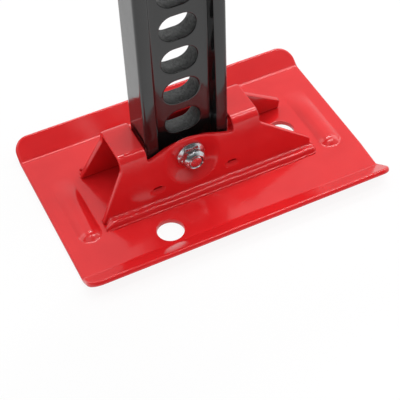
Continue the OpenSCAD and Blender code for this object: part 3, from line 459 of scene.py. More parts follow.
def flat_fill(loops, seeds):
    """Triangles that fill the flat of a sheet: their points, the given points that each of them
    stands for, and the corners of each triangle. The outlines' own points are given first."""
    flat, borders = [], []
    for strip in (0.0, CALM_STRIP):
        for loop, radius in loops:
            first = len(flat)
            flat.extend(moved_in(loop, radius + strip))
            borders.extend((first + i, first + (i + 1) % len(loop)) for i in range(len(loop)))
    for group, spacing in seeds:
        near = kdtree.KDTree(len(flat))
        for i, p in enumerate(flat):
            near.insert((p.x, p.y, 0), i)
        near.balance()
        spots = np.array([tuple(p) for p in group])
        flat.extend(Vector(p) for p, kept in zip(spots, on_sheet(spots, loops, CALM_STRIP))
                    if kept and near.find((p[0], p[1], 0))[2] > LEAST_SHARE * spacing)
    spots, _, triangles, origins, _, _ = delaunay_2d_cdt(flat, borders, [], 0, 1e-5)
    centres = np.array([(spots[a] + spots[b] + spots[c]) / 3 for a, b, c in triangles])
    kept = on_sheet(centres, loops, 0)
    return spots, origins, [corners for corners, keep in zip(triangles, kept) if keep]


def sheet(loops, seeds, thickness, place):
    """Mesh of a sheet: loops are (outline, edge radius), seeds are lists of points from fine to
    coarse with their spacing, and place(u, v, w) gives a point in millimetres."""
    half = thickness / 2
    angles = [math.pi / 2 * k / EDGE_TURNS for k in range(EDGE_TURNS + 1)]
    points, faces, top, under = [], [], [], []
    for loop, radius in loops:
        rings = [(radius * (1 - math.sin(a)), half - radius * (1 - math.cos(a))) for a in angles]
        rings += [(inset, -w) for inset, w in reversed(rings)]
        numbers = []
        for inset, w in rings:
            numbers.append(range(len(points), len(points) + len(loop)))
            points.extend(place(p.x, p.y, w) for p in moved_in(loop, inset))
        for upper, lower in zip(numbers, numbers[1:]):
            for i in range(len(loop)):
                j = (i + 1) % len(loop)
                faces.append((upper[i], lower[i], lower[j], upper[j]))
        top.extend(numbers[0])
        under.extend(numbers[-1])
    spots, origins, triangles = flat_fill(loops, seeds)
    for side, rim in ((half, top), (-half, under)):
        index = []
        for spot, origin in zip(spots, origins):
            known = [i for i in origin if i < len(rim)]
            if known:
                index.append(rim[known[0]])
            else:
                index.append(len(points))
                points.append(place(spot.x, spot.y, side))
        for a, b, c in triangles:
            corners = (index[a], index[b], index[c])
            faces.append(corners if side > 0 else corners[::-1])
    mesh = bpy.data.meshes.new("sheet")
    mesh.from_pydata([Vector(p) * MM for p in points], [], faces)
    work = bmesh.new()
    work.from_mesh(mesh)
    loose = [v for v in work.verts if not v.link_faces]
    bmesh.ops.delete(work, geom=loose, context="VERTS")
    work.to_mesh(mesh)
    open_edges = sum(not e.is_manifold for e in work.edges)
    work.free()
    print("sheet:", len(mesh.polygons), "faces,", open_edges, "open edges")
    return mesh


print("sheets can be cut and filled")


# %% Points on the flat sheet
def lattice(u0, u1, v0, v1, step):
    """Rows of points in staggered order, a step apart."""
    rows = []
    for j in range(int((v1 - v0) / (step * ROW_SHARE)) + 1):
        shift = step / 2 if j % 2 else 0
        rows.extend((u0 + shift + step * i, v0 + step * ROW_SHARE * j)
                    for i in range(int((u1 - u0 - shift) / step) + 1))
    return rows


def smoothstep(x):
    """0 below 0, 1 above 1 and a soft S between."""
    x = min(1.0, max(0.0, x))
    return x * x * (3 - 2 * x)


print("a lattice of", len(lattice(0, 10, 0, 10, 1)), "points on a square of ten steps")

# %% [markdown]
# ## Base plate
# A blank of 3 mm sheet, 180 mm long, whose two long edges are bent up by 36 degrees. Two long
# beads near its ends are pressed up to stiffen it, and two 15 mm holes take a stake or a bolt.
# Each corner of the real plate is trimmed by its own radius.

# %% Base plate
PLATE_T, PLATE_HALF_L, PLATE_EDGE_R = 3.0, 90.0, 1.1
# The flat middle ends at PLATE_FLAT, and the blank at PLATE_REACH
PLATE_FLAT, PLATE_REACH = 46.0, 62.35
BEND_R, BEND_ANGLE = 4.5, math.radians(36)
BEND_ARC = BEND_R * BEND_ANGLE
BEAD_HALF_W, BEAD_HALF_L, BEAD_H, BEAD_CREASE, BEAD_FADE = 6.5, 20.0, 2.6, 0.12, 22.0
BEAD_SPOTS = [(-75.0, 0.5), (75.0, 3.5)]
# Where points are needed over a bead, as shares of its half width
BEAD_RINGS = (0.15, 0.35, 0.55, 0.7, 0.8, 0.88, 0.94, 1.0, 1.06, 1.13, 1.22, 1.35, 1.55)
PLATE_HOLES, HOLE_R, HOLE_EDGE_R = [(-35.0, -37.5), (54.0, 2.0)], 7.5, 0.45
OUTLINE_STEP = 0.9


def bead_height(u, v):
    """Height of the pressed beads at a point of the plate."""
    height = 0.0
    for x, y in BEAD_SPOTS:
        off = math.hypot(u - x, max(0.0, abs(v - y) - BEAD_HALF_L)) / BEAD_HALF_W
        rise = 1 - off * off
        fade = smoothstep((y + BEAD_HALF_L + BEAD_HALF_W - v) / BEAD_FADE)
        height += BEAD_H * fade * (rise + math.sqrt(rise * rise + BEAD_CREASE ** 2)) / 2
    return height


def on_plate(u, v, w):
    """A point of the flat blank, carried to the bent plate."""
    side, reach = (1 if v >= 0 else -1), abs(v)
    if reach <= PLATE_FLAT:
        return (u, v, PLATE_T / 2 + w + bead_height(u, v))
    angle = min((reach - PLATE_FLAT) / BEND_R, BEND_ANGLE)
    slide = max(0.0, reach - PLATE_FLAT - BEND_ARC)
    radius = BEND_R - w
    return (u, side * (PLATE_FLAT + radius * math.sin(angle) + slide * math.cos(angle)),
            PLATE_T / 2 + BEND_R - radius * math.cos(angle) + slide * math.sin(angle))


# Four trimmed corners, and the small notch that the shear left on the right end
plate_outline = rounded([
    (-PLATE_HALF_L, -PLATE_REACH, 8.0), (PLATE_HALF_L, -PLATE_REACH, 5.5),
    (PLATE_HALF_L, -48.5, 1.5), (PLATE_HALF_L - 1.2, -45.5, 1.5), (PLATE_HALF_L - 0.4, -28.0, 0),
    (PLATE_HALF_L, PLATE_REACH, 10.0), (-PLATE_HALF_L, PLATE_REACH, 9.0)], OUTLINE_STEP)
seeds = [(u, side * (PLATE_FLAT + BEND_ARC * k / 6)) for side in (-1, 1) for k in range(-1, 8)
         for u in np.arange(-89.5, 89.6, 1.2)]
for x, y in BEAD_SPOTS:
    for off in BEAD_RINGS:
        seeds += [tuple(p) for p in rounded(
            [(x + sx * BEAD_HALF_W * off, y + sy * (BEAD_HALF_L + BEAD_HALF_W * off),
              BEAD_HALF_W * off * 0.999) for sx, sy in ((-1, -1), (1, -1), (1, 1), (-1, 1))], 1.1)]
mesh = sheet([(plate_outline, PLATE_EDGE_R)] +
             [(circle_loop(x, y, HOLE_R), HOLE_EDGE_R) for x, y in PLATE_HOLES],
             [(seeds, 0.5), (lattice(-88, 88, -61, 61, 3.0), 3.0)], PLATE_T, on_plate)
put("base_plate_pressed", mesh, "frame", red_enamel, ["base_plate"])

# %% [markdown]
# ## Foot bracket
# A second blank is folded over the bar into a channel with a roof and two walls, which lean in
# by 11 degrees, so that the feet stand wider than the roof. The walls run out into long wings,
# where they are welded. A bolt clamps the walls to the bar, and pulls them in around it. Four
# tabs are lanced and pushed inwards, and the bar stands on them.

# %% Foot bracket
BRACKET_Y, BRACKET_T = 2.0, 3.0
WALL_LEAN = math.radians(11)
# A wall's outer face at the plate, and where the bolt has pulled it to the bar
FOOT_OUT, SEAT_OUT = 20.5, 13.0
# The middle of the sheet: half the flat roof, the fold's radius and centre, the roof's height
ROOF_HALF, FOLD_R, FOLD_Z, ROOF_MID = 9.28, 3.5, 34.5, 38.0
FOLD_TURN = math.pi / 2 - WALL_LEAN
FOLD_ARC = FOLD_R * FOLD_TURN
WALL_START = ROOF_HALF + FOLD_ARC
WALL_TOP_Z = FOLD_Z + FOLD_R * math.cos(FOLD_TURN)
BAR_X, BOLT_Z, BOLT_HOLE_R = -9.6, 25.5, 4.4
SLOT_LEFT, SLOT_RIGHT, SLOT_CORNER_R, SILL_Z, SILL_RISE = -35.2, 16.0, 1.4, 31.5, 6.0
# Radii of the bolt's dimple, where it starts and where the wall touches the bar
DIMPLE_OUT, DIMPLE_IN = 17.0, 8.4
TAB_XS, TAB_HALF, TAB_TOP, TAB_BEND, TAB_PUSH = (-32.1, 12.9), 4.2, 13.0, 3.0, 1.3
# The lanced slit above a tab is a flat crescent between these heights over the tab's top
SLIT_LOW, SLIT_MID, SLIT_HIGH = -0.5, 0.5, 1.9
# Ends of the roof and of the wings, and the heights of the wings' tips and of the walls' foot
ROOF_LEFT, ROOF_RIGHT, WING_LEFT, WING_BACK_LEFT, WING_RIGHT = -50.5, 32.0, -65.6, -63.4, 61.9
TIP_LEFT, TIP_RIGHT, WALL_FOOT_Z = 4.5, 9.8, 3.35


def down_wall(z):
    """Distance along the blank to a height on the wall."""
    return WALL_START + (WALL_TOP_Z - z) / math.cos(WALL_LEAN)


def pushed_in(u, reach):
    """How far the wall is pressed inwards, by the bolt and at the lanced tabs."""
    z = WALL_TOP_Z - (reach - WALL_START) * math.cos(WALL_LEAN)
    off = math.hypot(u - BAR_X, z - BOLT_Z)
    room = (FOOT_OUT - (z - PLATE_T) * math.tan(WALL_LEAN) - SEAT_OUT) * math.cos(WALL_LEAN)
    depth = max(0.0, room) * smoothstep((DIMPLE_OUT - off) / (DIMPLE_OUT - DIMPLE_IN))
    for x in TAB_XS:
        across = 1 - ((u - x) / (TAB_HALF + 0.3)) ** 2
        if across > 0 and TAB_TOP - TAB_BEND < z < TAB_TOP + 0.4:
            depth += TAB_PUSH * across * (1 - smoothstep((TAB_TOP - z) / TAB_BEND))
    return depth


def on_bracket(u, v, w):
    """A point of the flat blank, carried to the folded bracket."""
    side, reach = (1 if v >= 0 else -1), abs(v)
    if reach <= ROOF_HALF:
        return (u, BRACKET_Y + v, ROOF_MID + w)
    w -= pushed_in(u, reach)
    angle = min((reach - ROOF_HALF) / FOLD_R, FOLD_TURN)
    slide = max(0.0, reach - WALL_START)
    out = ROOF_HALF + (FOLD_R + w) * math.sin(angle) + slide * math.sin(WALL_LEAN)
    return (u, BRACKET_Y + side * out,
            FOLD_Z + (FOLD_R + w) * math.cos(angle) - slide * math.cos(WALL_LEAN))


def sill(u):
    """Distance along the blank to the edge beside the bar."""
    share = ((u - SLOT_LEFT) / (SLOT_RIGHT - SLOT_LEFT)) ** 0.9
    return down_wall(SILL_Z + SILL_RISE * max(0.0, math.sin(math.pi * share)) ** 1.4)


foot, low_roof = down_wall(WALL_FOOT_Z), down_wall(SILL_Z)
right_end = [(WING_RIGHT, foot, 1.0), (WING_RIGHT, down_wall(TIP_RIGHT), 1.2),
             (ROOF_RIGHT, low_roof, 3.5)]


def left_end(tip_x):
    """The corners from the foot of a wing that ends at tip_x to the roof's left end."""
    return [(tip_x, foot, 1.0), (tip_x, down_wall(TIP_LEFT), 1.2), (ROOF_LEFT, low_roof, 6.0)]


def in_front(corners):
    """The same corners on the front wall's half of the blank."""
    return [(u, -v, radius) for u, v, radius in corners]


front_left = in_front(left_end(WING_LEFT))
bracket_outline = rounded(front_left[:1] + in_front(right_end) + right_end[::-1] +
                          left_end(WING_BACK_LEFT) + front_left[:0:-1], OUTLINE_STEP)
sill_us = np.linspace(SLOT_LEFT, SLOT_RIGHT, 25)
slot_side = ([(SLOT_LEFT, sill(SLOT_LEFT), SLOT_CORNER_R)] +
             [(u, sill(u), 0) for u in sill_us[2:-2]] +
             [(SLOT_RIGHT, sill(SLOT_RIGHT), SLOT_CORNER_R)])
bar_opening = rounded(in_front(slot_side)[:1] + slot_side + in_front(slot_side)[:0:-1],
                      OUTLINE_STEP)
loops = [(bracket_outline, 0.5), (bar_opening, 0.6)]
for side in (-1, 1):
    loops.append((circle_loop(BAR_X, side * down_wall(BOLT_Z), BOLT_HOLE_R, 32), 0.4))
    for x in TAB_XS:
        low, mid, high = (side * down_wall(TAB_TOP + up)
                          for up in (SLIT_LOW, SLIT_MID, SLIT_HIGH))
        slit = [(x - TAB_HALF, low, 0.2), (x - TAB_HALF * 0.5, high, 2.0),
                (x + TAB_HALF * 0.5, high, 2.0), (x + TAB_HALF, low, 0.2),
                (x + TAB_HALF * 0.4, mid, 3.0), (x - TAB_HALF * 0.4, mid, 3.0)]
        loops.append((rounded(slit if side > 0 else slit[::-1], 0.5), 0.2))
# Points are close together at the tabs and the folds, and lie in rings around the bolt
TAB_MIDDLE_Z, TAB_STEP, ROW_STEP, RING_FROM, RING_STEP, RINGS = 11.2, 0.6, 1.1, 5.2, 0.9, 21
fine, middling = [], []
for side in (-1, 1):
    for x in TAB_XS:
        middle = side * down_wall(TAB_MIDDLE_Z)
        fine += lattice(x - 5.2, x + 5.2, middle - 4.8, middle + 4.8, TAB_STEP)
    for k in range(-1, 10):
        fine += [(u, side * (ROOF_HALF + FOLD_ARC * k / 8))
                 for u in np.arange(-65, 62, ROW_STEP)]
    for ring in range(RINGS):
        radius = RING_FROM + RING_STEP * ring
        count = int(2 * math.pi * radius / ROW_STEP)
        middling += [(BAR_X + radius * math.cos(2 * math.pi * k / count),
                      side * down_wall(BOLT_Z) + radius * math.sin(2 * math.pi * k / count))
                     for k in range(count)]
mesh = sheet(loops, [(fine, 0.5), (middling, 0.7), (lattice(-65, 62, -47, 47, 2.5), 2.5)],
             BRACKET_T, on_bracket)
put("foot_bracket_folded", mesh, "frame", red_enamel, ["foot_bracket"])

# %% [markdown]
# ## Rack bar
# The bar is rolled to an I-section, and obround slots are punched through its web at a pitch of 21
# mm. One pitch is built as a cell: the rolled outline runs along its sides, and the web has a hole
# with rounded lips. Geometry Nodes then repeat the cell up the bar, which is how the press repeats
# its stroke. The ends, with the bolt hole below, are added and merged.

# %% One pitch of the bar
PITCH, CELLS, CELLS_FROM = 21.0, 38, 34.0
BAR_FOOT, BAR_TOP = 13.5, 851.5
BAR_HALF_W, BAR_HALF_D, WEB_HALF = 24.5, 11.0, 5.5
# Widths of a flange's face and of its leaning inner side, and radii of its corner and its root
FLANGE_FACE, RECESS_LEAN, CORNER_R, WEB_FILLET = 7.2, 1.2, 2.0, 1.6
WEB_EDGE = BAR_HALF_W - FLANGE_FACE - RECESS_LEAN - WEB_FILLET
# The rounded inner edge of a flange, and the angle of its leaning inner side in degrees
FLANGE_LIP, FLANK_TURN = 0.8, 12.3
SLOT_W, SLOT_H, SLOT_LIP = 20.7, 15.2, 0.5


def arc(cx, cy, radius, start, end, count):
    """Points on an arc, angles in degrees."""
    return [(cx + radius * math.cos(math.radians(start + (end - start) * k / count)),
             cy + radius * math.sin(math.radians(start + (end - start) * k / count)))
            for k in range(count + 1)]


def flange_profile():
    """The bar's outline on its +X side, from the web's front face round to its back face."""
    mouth = BAR_HALF_W - FLANGE_FACE
    corner = BAR_HALF_W - CORNER_R
    front = [(WEB_EDGE, -WEB_HALF)]
    front += arc(WEB_EDGE, -WEB_HALF - WEB_FILLET, WEB_FILLET, 90, FLANK_TURN, 4)[1:]
    front += arc(mouth + FLANGE_LIP - 0.1, -BAR_HALF_D + FLANGE_LIP, FLANGE_LIP,
                 180 + FLANK_TURN, 270, 3)
    front += [(corner - 1.5, -BAR_HALF_D)]
    front += arc(corner, -BAR_HALF_D + CORNER_R, CORNER_R, 270, 360, 5)
    front += [(BAR_HALF_W, -BAR_HALF_D + CORNER_R + 1.0), (BAR_HALF_W, 0)]
    return front + [(x, -y) for x, y in reversed(front[:-1])]


print("half the bar's outline has", len(flange_profile()), "points")


# %% The web of a stretch and the wall of its hole
# Places of the rings between a hole's two rounded lips, and the width of the strip around a lip
# that has triangles of its own
WALL_YS, LIP_STRIP = (-2.5, 0.0, 2.5), 0.5


def web_flat(zs, hole, lip):
    """The flat of the web between heights zs: its points (x, z), the given points that each of
    them stands for, the corners of its triangles, and the number of the hole's first point."""
    across = [WEB_EDGE * (2 * k / 8 - 1) for k in range(9)]
    border = [(x, zs[0]) for x in across] + [(WEB_EDGE, z) for z in zs[1:]]
    border += [(x, zs[-1]) for x in across[-2::-1]] + [(-WEB_EDGE, z) for z in zs[-2:0:-1]]
    flat = [Vector(p) for p in border]
    edges = [(i, (i + 1) % len(border)) for i in range(len(border))]
    for inset in (lip, lip + LIP_STRIP) if hole else ():
        start = len(flat)
        flat.extend(moved_in(hole, inset))
        edges += [(start + i, start + (i + 1) % len(hole)) for i in range(len(hole))]
    spots, _, triangles, origins, _, _ = delaunay_2d_cdt(flat, edges, [], 0, 1e-6)
    centres = np.array([(spots[a] + spots[b] + spots[c]) / 3 for a, b, c in triangles])
    keep = inside(centres, flat[:len(border)])
    if hole:
        keep &= ~inside(centres, moved_in(hole, lip))
    kept = [corners for corners, found in zip(triangles, keep) if found]
    return spots, origins, kept, len(border)


def hole_rings(lip):
    """The rings of a hole's wall from front to back: inset, y, and the finish up to there."""
    front = [(lip * (1 - math.sin(a)), -WEB_HALF + lip * (1 - math.cos(a)))
             for a in (math.pi / 6, math.pi / 3, math.pi / 2)]
    rings = [(inset, y, 0) for inset, y in front] + [(0.0, y, 1) for y in WALL_YS]
    return rings + [(inset, -y, 0 if k else 1) for k, (inset, y) in enumerate(reversed(front))]


print("a hole's wall has", len(hole_rings(SLOT_LIP)), "rings")


# %% A stretch of the bar
def bar_stretch(z0, z1, levels, hole=None, lip=SLOT_LIP):
    """Mesh points and faces of the bar between two heights, with a hole through its web, and
    the number of each face's finish: 0 for enamel, 1 for the torn wall of a slot."""
    zs = [z0 + (z1 - z0) * k / levels for k in range(levels + 1)]
    points, faces, finishes = [], [], []

    def point(x, y, z):
        points.append((x, y, z))
        return len(points) - 1

    profile = flange_profile()
    for side in (1, -1):
        columns = [[point(side * x, y, z) for z in zs] for x, y in profile]
        for first, second in zip(columns, columns[1:]):
            for k in range(levels):
                quad = (first[k], second[k], second[k + 1], first[k + 1])
                faces.append(quad if side > 0 else quad[::-1])
                finishes.append(0)
    spots, origins, triangles, first_hole = web_flat(zs, hole, lip)
    mouths = []
    for y in (-WEB_HALF, WEB_HALF):
        index = [point(p.x, y, p.y) for p in spots]
        for a, b, c in triangles:
            triangle = (index[a], index[b], index[c])
            faces.append(triangle if y < 0 else triangle[::-1])
            finishes.append(0)
        known = {i: index[k] for k, origin in enumerate(origins) for i in origin}
        if hole:
            mouths.append([known[first_hole + i] for i in range(len(hole))])
    if hole:
        walls = hole_rings(lip)
        rings = [mouths[0]] + [[point(p.x, y, p.y) for p in moved_in(hole, inset)]
                               for inset, y, _ in walls] + [mouths[1]]
        kinds = [kind for _, _, kind in walls] + [0]
        for near, far, kind in zip(rings, rings[1:], kinds):
            for i in range(len(hole)):
                j = (i + 1) % len(hole)
                faces.append((near[j], near[i], far[i], far[j]))
                finishes.append(kind)
    return points, faces, finishes


print("a stretch can be built")


# %% The cell and the two ends
def obround_hole(width, height, z):
    """A slot with round ends, clockwise, on the web."""
    return rounded([(sx * width / 2, z + sz * height / 2, height / 2 - 0.01)
                    for sx, sz in ((-1, -1), (-1, 1), (1, 1), (1, -1))], 1.15)


def bar_mesh(name, points, faces, finishes, caps=()):
    """A mesh of a stretch of the bar in its place on the jack, closed at the given heights."""
    mesh = bpy.data.meshes.new(name)
    mesh.from_pydata([Vector((x + BAR_X, y + BRACKET_Y, z)) * MM for x, y, z in points], [], faces)
    mesh.materials.append(black_enamel)
    mesh.materials.append(slot_wall)
    mesh.polygons.foreach_set("material_index", finishes)
    work = bmesh.new()
    work.from_mesh(mesh)
    bmesh.ops.remove_doubles(work, verts=work.verts, dist=0.01 * MM)
    for height in caps:
        rim = [e for e in work.edges if e.is_boundary
               and all(abs(v.co.z - height * MM) < 0.01 * MM for v in e.verts)]
        bmesh.ops.contextual_create(work, geom=rim)
    bmesh.ops.recalc_face_normals(work, faces=work.faces)
    work.to_mesh(mesh)
    work.free()
    return mesh


cell = bar_mesh("bar_cell", *bar_stretch(0, PITCH, 6, obround_hole(SLOT_W, SLOT_H, PITCH / 2)))
low_end = bar_mesh("bar_low_end", *bar_stretch(BAR_FOOT, CELLS_FROM, 5,
                                               circle_loop(0, BOLT_Z, BOLT_HOLE_R, 40), 0.3),
                   caps=[BAR_FOOT])
high_end = bar_mesh("bar_high_end", *bar_stretch(CELLS_FROM + CELLS * PITCH, BAR_TOP, 5),
                    caps=[BAR_TOP])
print("bar cell:", len(cell.polygons), "faces")


# %% The cell repeated up the bar
def mesh_object(name, mesh):
    """A plain object that a node tree can take in."""
    thing = bpy.data.objects.new(name, mesh)
    scene.collection.objects.link(thing)
    return thing


def node_group(name, sockets):
    """A new geometry node tree with named inputs: {name: (socket type, default)}."""
    tree = bpy.data.node_groups.new(name, "GeometryNodeTree")
    identifiers = {}
    for label, (kind, default) in sockets.items():
        socket = tree.interface.new_socket(label, in_out="INPUT", socket_type=kind)
        if default is not None:
            socket.default_value = default
        identifiers[label] = socket.identifier
    tree.interface.new_socket("Geometry", in_out="OUTPUT", socket_type="NodeSocketGeometry")
    return tree, add(tree, "NodeGroupInput"), add(tree, "NodeGroupOutput"), identifiers


def with_nodes(name, tree, identifiers, values):
    """An empty object with the node tree as its modifier and the given input values."""
    thing = mesh_object(name, bpy.data.meshes.new(name))
    modifier = thing.modifiers.new("nodes", "NODES")
    modifier.node_group = tree
    for label, value in values.items():
        modifier[identifiers[label]] = value
    return thing


FLOAT, WHOLE, THING = "NodeSocketFloat", "NodeSocketInt", "NodeSocketObject"
tree, given, result, names = node_group("repeat_up_the_bar", {
    "Cell": (THING, None), "Count": (WHOLE, CELLS), "Pitch": (FLOAT, PITCH * MM),
    "From": (FLOAT, CELLS_FROM * MM), "Low End": (THING, None), "High End": (THING, None)})
step = add(tree, "ShaderNodeCombineXYZ", {"Z": given.outputs["Pitch"]})
start = add(tree, "ShaderNodeCombineXYZ", {"Z": given.outputs["From"]})
line = add(tree, "GeometryNodeMeshLine", {"Count": given.outputs["Count"],
                                          "Start Location": start.outputs[0],
                                          "Offset": step.outputs[0]}, mode="OFFSET")
cell_in = add(tree, "GeometryNodeObjectInfo", {"Object": given.outputs["Cell"],
                                               "As Instance": True})
placed = add(tree, "GeometryNodeInstanceOnPoints", {"Points": line.outputs[0],
                                                    "Instance": cell_in.outputs["Geometry"]})
ends = [add(tree, "GeometryNodeObjectInfo", {"Object": given.outputs[label]}).outputs["Geometry"]
        for label in ("Low End", "High End")]
joined = add(tree, "GeometryNodeJoinGeometry", {0: [placed.outputs[0]] + ends})
real = add(tree, "GeometryNodeRealizeInstances", {0: joined.outputs[0]})
merged = add(tree, "GeometryNodeMergeByDistance", {"Geometry": real.outputs[0],
                                                   "Distance": 0.02 * MM})
finish_number = add(tree, "GeometryNodeInputMaterialIndex").outputs[0]
dressed = merged.outputs[0]
for number, finish in enumerate((black_enamel, slot_wall)):
    chosen = add(tree, "FunctionNodeCompare", {2: finish_number, 3: number}, data_type="INT",
                 operation="EQUAL")
    dressed = add(tree, "GeometryNodeSetMaterial", {
        "Geometry": dressed, "Selection": chosen.outputs[0], "Material": finish}).outputs[0]
tree.links.new(dressed, result.inputs[0])
helpers = [mesh_object(m.name, m) for m in (cell, low_end, high_end)]
bar = with_nodes("bar_maker", tree, names, {
    "Cell": helpers[0], "Count": CELLS, "Pitch": PITCH * MM, "From": CELLS_FROM * MM,
    "Low End": helpers[1], "High End": helpers[2]})
mesh = evaluated(bar)
for helper in helpers:
    bpy.data.objects.remove(helper)
put("rack_bar_slotted", mesh, "frame", None, ["rack_bar"], sharp=40)
print("bar:", len(mesh.polygons), "faces,", len(mesh.materials), "finishes")

# %% [markdown]
# ## Weld beads
# Two fillet welds join the bracket's feet to the plate. A machine drew each bead in one pass, so
# it is a long band with an almost level top, a crest, and a steep face down to the plate. Its
# section is drawn once and swept along the foot. Slow noise lets the band wander, as the torch
# did, and quick noise wrinkles its two toes and its crest, where the paint catches the light.
# The bead starts in a point on the plate and ends in the round pool where the torch stopped.

# %% Weld beads
# Points of the section: outwards from the wall's outer foot, and up from the plate
WELD_SECTION = [(-0.5, 0.0), (-1.5, 4.3), (-1.0, 4.35), (-0.7, 3.85), (-0.3, 3.5), (0.3, 3.3),
                (1.1, 3.24), (2.0, 3.3), (2.7, 3.3), (3.2, 3.2), (3.65, 2.9), (4.05, 2.35),
                (4.35, 1.6), (4.55, 1.05), (4.75, 0.8), (5.0, 0.7), (5.25, 0.6), (5.4, 0.42),
                (5.44, 0.0)]
WELD_STEP, WELD_REACH, WELD_TOP = 0.45, 5.45, 5.4
# Lengths over which a bead rises from its point and falls in its end pool, and how far out from
# the wall's foot the point and the pool's middle are
POINT_L, POOL_L, POINT_OUT, POOL_OUT = 5.0, 3.2, 4.3, 1.8
# Periods of the torch's wandering and of the film's wrinkles, along the bead
WANDER_OUT, WANDER_UP, WRINKLE_OUT, WRINKLE_UP = 13, 17, 1.9, 2.3
# from x, to x, side, seed
WELDS = [(-66.2, 64.1, -1, 3), (-62.0, 61.4, 1, 8)]


def wander(x, period, row, seed):
    """Smooth noise along the bead, from about -1 to 1."""
    return noise.noise(Vector((x / period, 7.3 * row, 31.7 * seed))) * 1.6


def weld_bead(work, x0, x1, side, seed):
    """One bead along the foot of the wall on a side, from x0 to x1."""
    rings = []
    for k in range(int((x1 - x0) / WELD_STEP) + 1):
        x = x0 + WELD_STEP * k
        start = min(1.0, (x - x0) / POINT_L)
        end = math.sqrt(max(0.0, 1 - max(0.0, (x - x1 + POOL_L) / POOL_L) ** 2))
        ring = []
        for row, (out, up) in enumerate(WELD_SECTION):
            part = row // 4
            out += (0.25 * wander(x, WANDER_OUT, 0, seed) * (row > 5)
                    + 0.1 * wander(x, WRINKLE_OUT, part, seed))
            up *= (1 + 0.07 * wander(x, WANDER_UP, 1, seed)
                   + 0.03 * wander(x, WRINKLE_UP, part, seed))
            out = POINT_OUT + (out - POINT_OUT) * start ** 0.7
            out = POOL_OUT + (out - POOL_OUT) * max(end, 0.1)
            up *= max(0.05, start ** 0.5 * end)
            place = (x, BRACKET_Y + side * (FOOT_OUT + min(out, WELD_REACH)),
                     PLATE_T + min(up, WELD_TOP))
            ring.append(work.verts.new([length * MM for length in place]))
        rings.append(ring)
    for first, second in zip(rings, rings[1:]):
        for i in range(len(first)):
            j = (i + 1) % len(first)
            work.faces.new((first[i], first[j], second[j], second[i]))
    work.faces.new(rings[0])
    work.faces.new(rings[-1])


work = bmesh.new()
for weld in WELDS:
    weld_bead(work, *weld)
bmesh.ops.recalc_face_normals(work, faces=work.faces[:])
mesh = bpy.data.meshes.new("foot_weld_beads")
work.to_mesh(mesh)
work.free()
put("foot_weld_beads", mesh, "frame", weld_red, ["foot_welds"])
print("welds:", len(mesh.polygons), "faces")

# %% [markdown]
# ## Bolts and nuts
# All the bolts and nuts of the jack follow one rule: a flange, a hexagon whose corners are
# chamfered by a cone, perhaps a collar that locks the thread, and either a shank or a hole.
# One node tree with these sizes as inputs makes them all. Each is then turned to face along the
# bar's front or back, and a small bevel softens its edges like the rolled and plated real ones.

# %% One tree for every bolt and nut
# In metres, as the node tree works: the chamfer at a shank's end or a nut's mouth, how far the
# shank reaches into the head, and a bore that is longer than any nut
END_CHAMFER, INTO_HEAD, BORE_L = 0.0008, 0.0005, 0.08
# The top of the cone that chamfers the hexagon as a share of its flats, and the cone's slope
CONE_SHARE, CONE_SLOPE = 0.47, 1.5
CONE, CYLINDER, BALL = ("GeometryNodeMesh" + shape for shape in ("Cone", "Cylinder", "UVSphere"))
tree, given, result, names = node_group("flanged_fastener", {
    "Across Flats": (FLOAT, 0.013), "Hex Height": (FLOAT, 0.005),
    "Flange Radius": (FLOAT, 0.0087), "Flange Height": (FLOAT, 0.0016),
    "Collar Radius": (FLOAT, 0.0058), "Collar Height": (FLOAT, 0.0),
    "Shank Radius": (FLOAT, 0.004), "Shank Length": (FLOAT, 0.02),
    "Is Nut": ("NodeSocketBool", False)})


def total(*parts, plus=0.0):
    """A length in the tree: a plain number, and some sizes, each times its share."""
    for size, share in parts:
        plus = add(tree, "ShaderNodeMath", {0: size, 1: share, 2: plus},
                   operation="MULTIPLY_ADD").outputs[0]
    return plus


def part(kind, sizes, height=0.0):
    """A cone, a cylinder or a ball with its sizes, moved up the fastener's axis."""
    shape = add(tree, kind, sizes)
    move = add(tree, "ShaderNodeCombineXYZ", {"Z": height})
    return add(tree, "GeometryNodeTransform", {"Geometry": shape.outputs[0],
                                               "Translation": move.outputs[0]}).outputs[0]


print("one tree with", len(names), "inputs")

# %% The head, with its flange and its locking collar
# A cylinder is moved by its middle and a cone by its base
flats, hex_h = given.outputs["Across Flats"], given.outputs["Hex Height"]
flange_r, flange_h = given.outputs["Flange Radius"], given.outputs["Flange Height"]
collar_r, collar_h = given.outputs["Collar Radius"], given.outputs["Collar Height"]
cone_r, cone_h = total((flats, CONE_SHARE)), total((hex_h, 1), (flange_h, 1))
corner_r = add(tree, "ShaderNodeMath", {0: flats, 1: 2 * math.cos(math.radians(30))},
               operation="DIVIDE").outputs[0]
top = total((flange_h, 1), (hex_h, 1), (collar_h, 1))

hexagon = part(CYLINDER, {"Vertices": 6, "Radius": corner_r,
                          "Depth": total((flange_h, 0.5), plus=hex_h)},
               total((flange_h, 0.75), (hex_h, 0.5)))
chamfer = part(CONE, {"Vertices": 72, "Radius Bottom": total((cone_h, CONE_SLOPE), plus=cone_r),
                      "Radius Top": cone_r, "Depth": cone_h})
hexagon = add(tree, "GeometryNodeMeshBoolean", {1: [hexagon, chamfer]}, operation="INTERSECT",
              solver="EXACT").outputs[0]
rim = part(CYLINDER, {"Vertices": 72, "Radius": flange_r, "Depth": total((flange_h, 0.55))},
           total((flange_h, 0.275)))
slope = part(CONE, {"Vertices": 72, "Radius Bottom": total((flange_r, 0.985)),
                    "Radius Top": total((flats, 0.5)), "Depth": total((flange_h, 0.7))},
             total((flange_h, 0.5)))
collar = part(CONE, {"Vertices": 72, "Radius Bottom": collar_r,
                     "Radius Top": total((collar_r, 0.95)),
                     "Depth": total((hex_h, 0.5), plus=collar_h)},
              total((hex_h, 0.5), plus=flange_h))
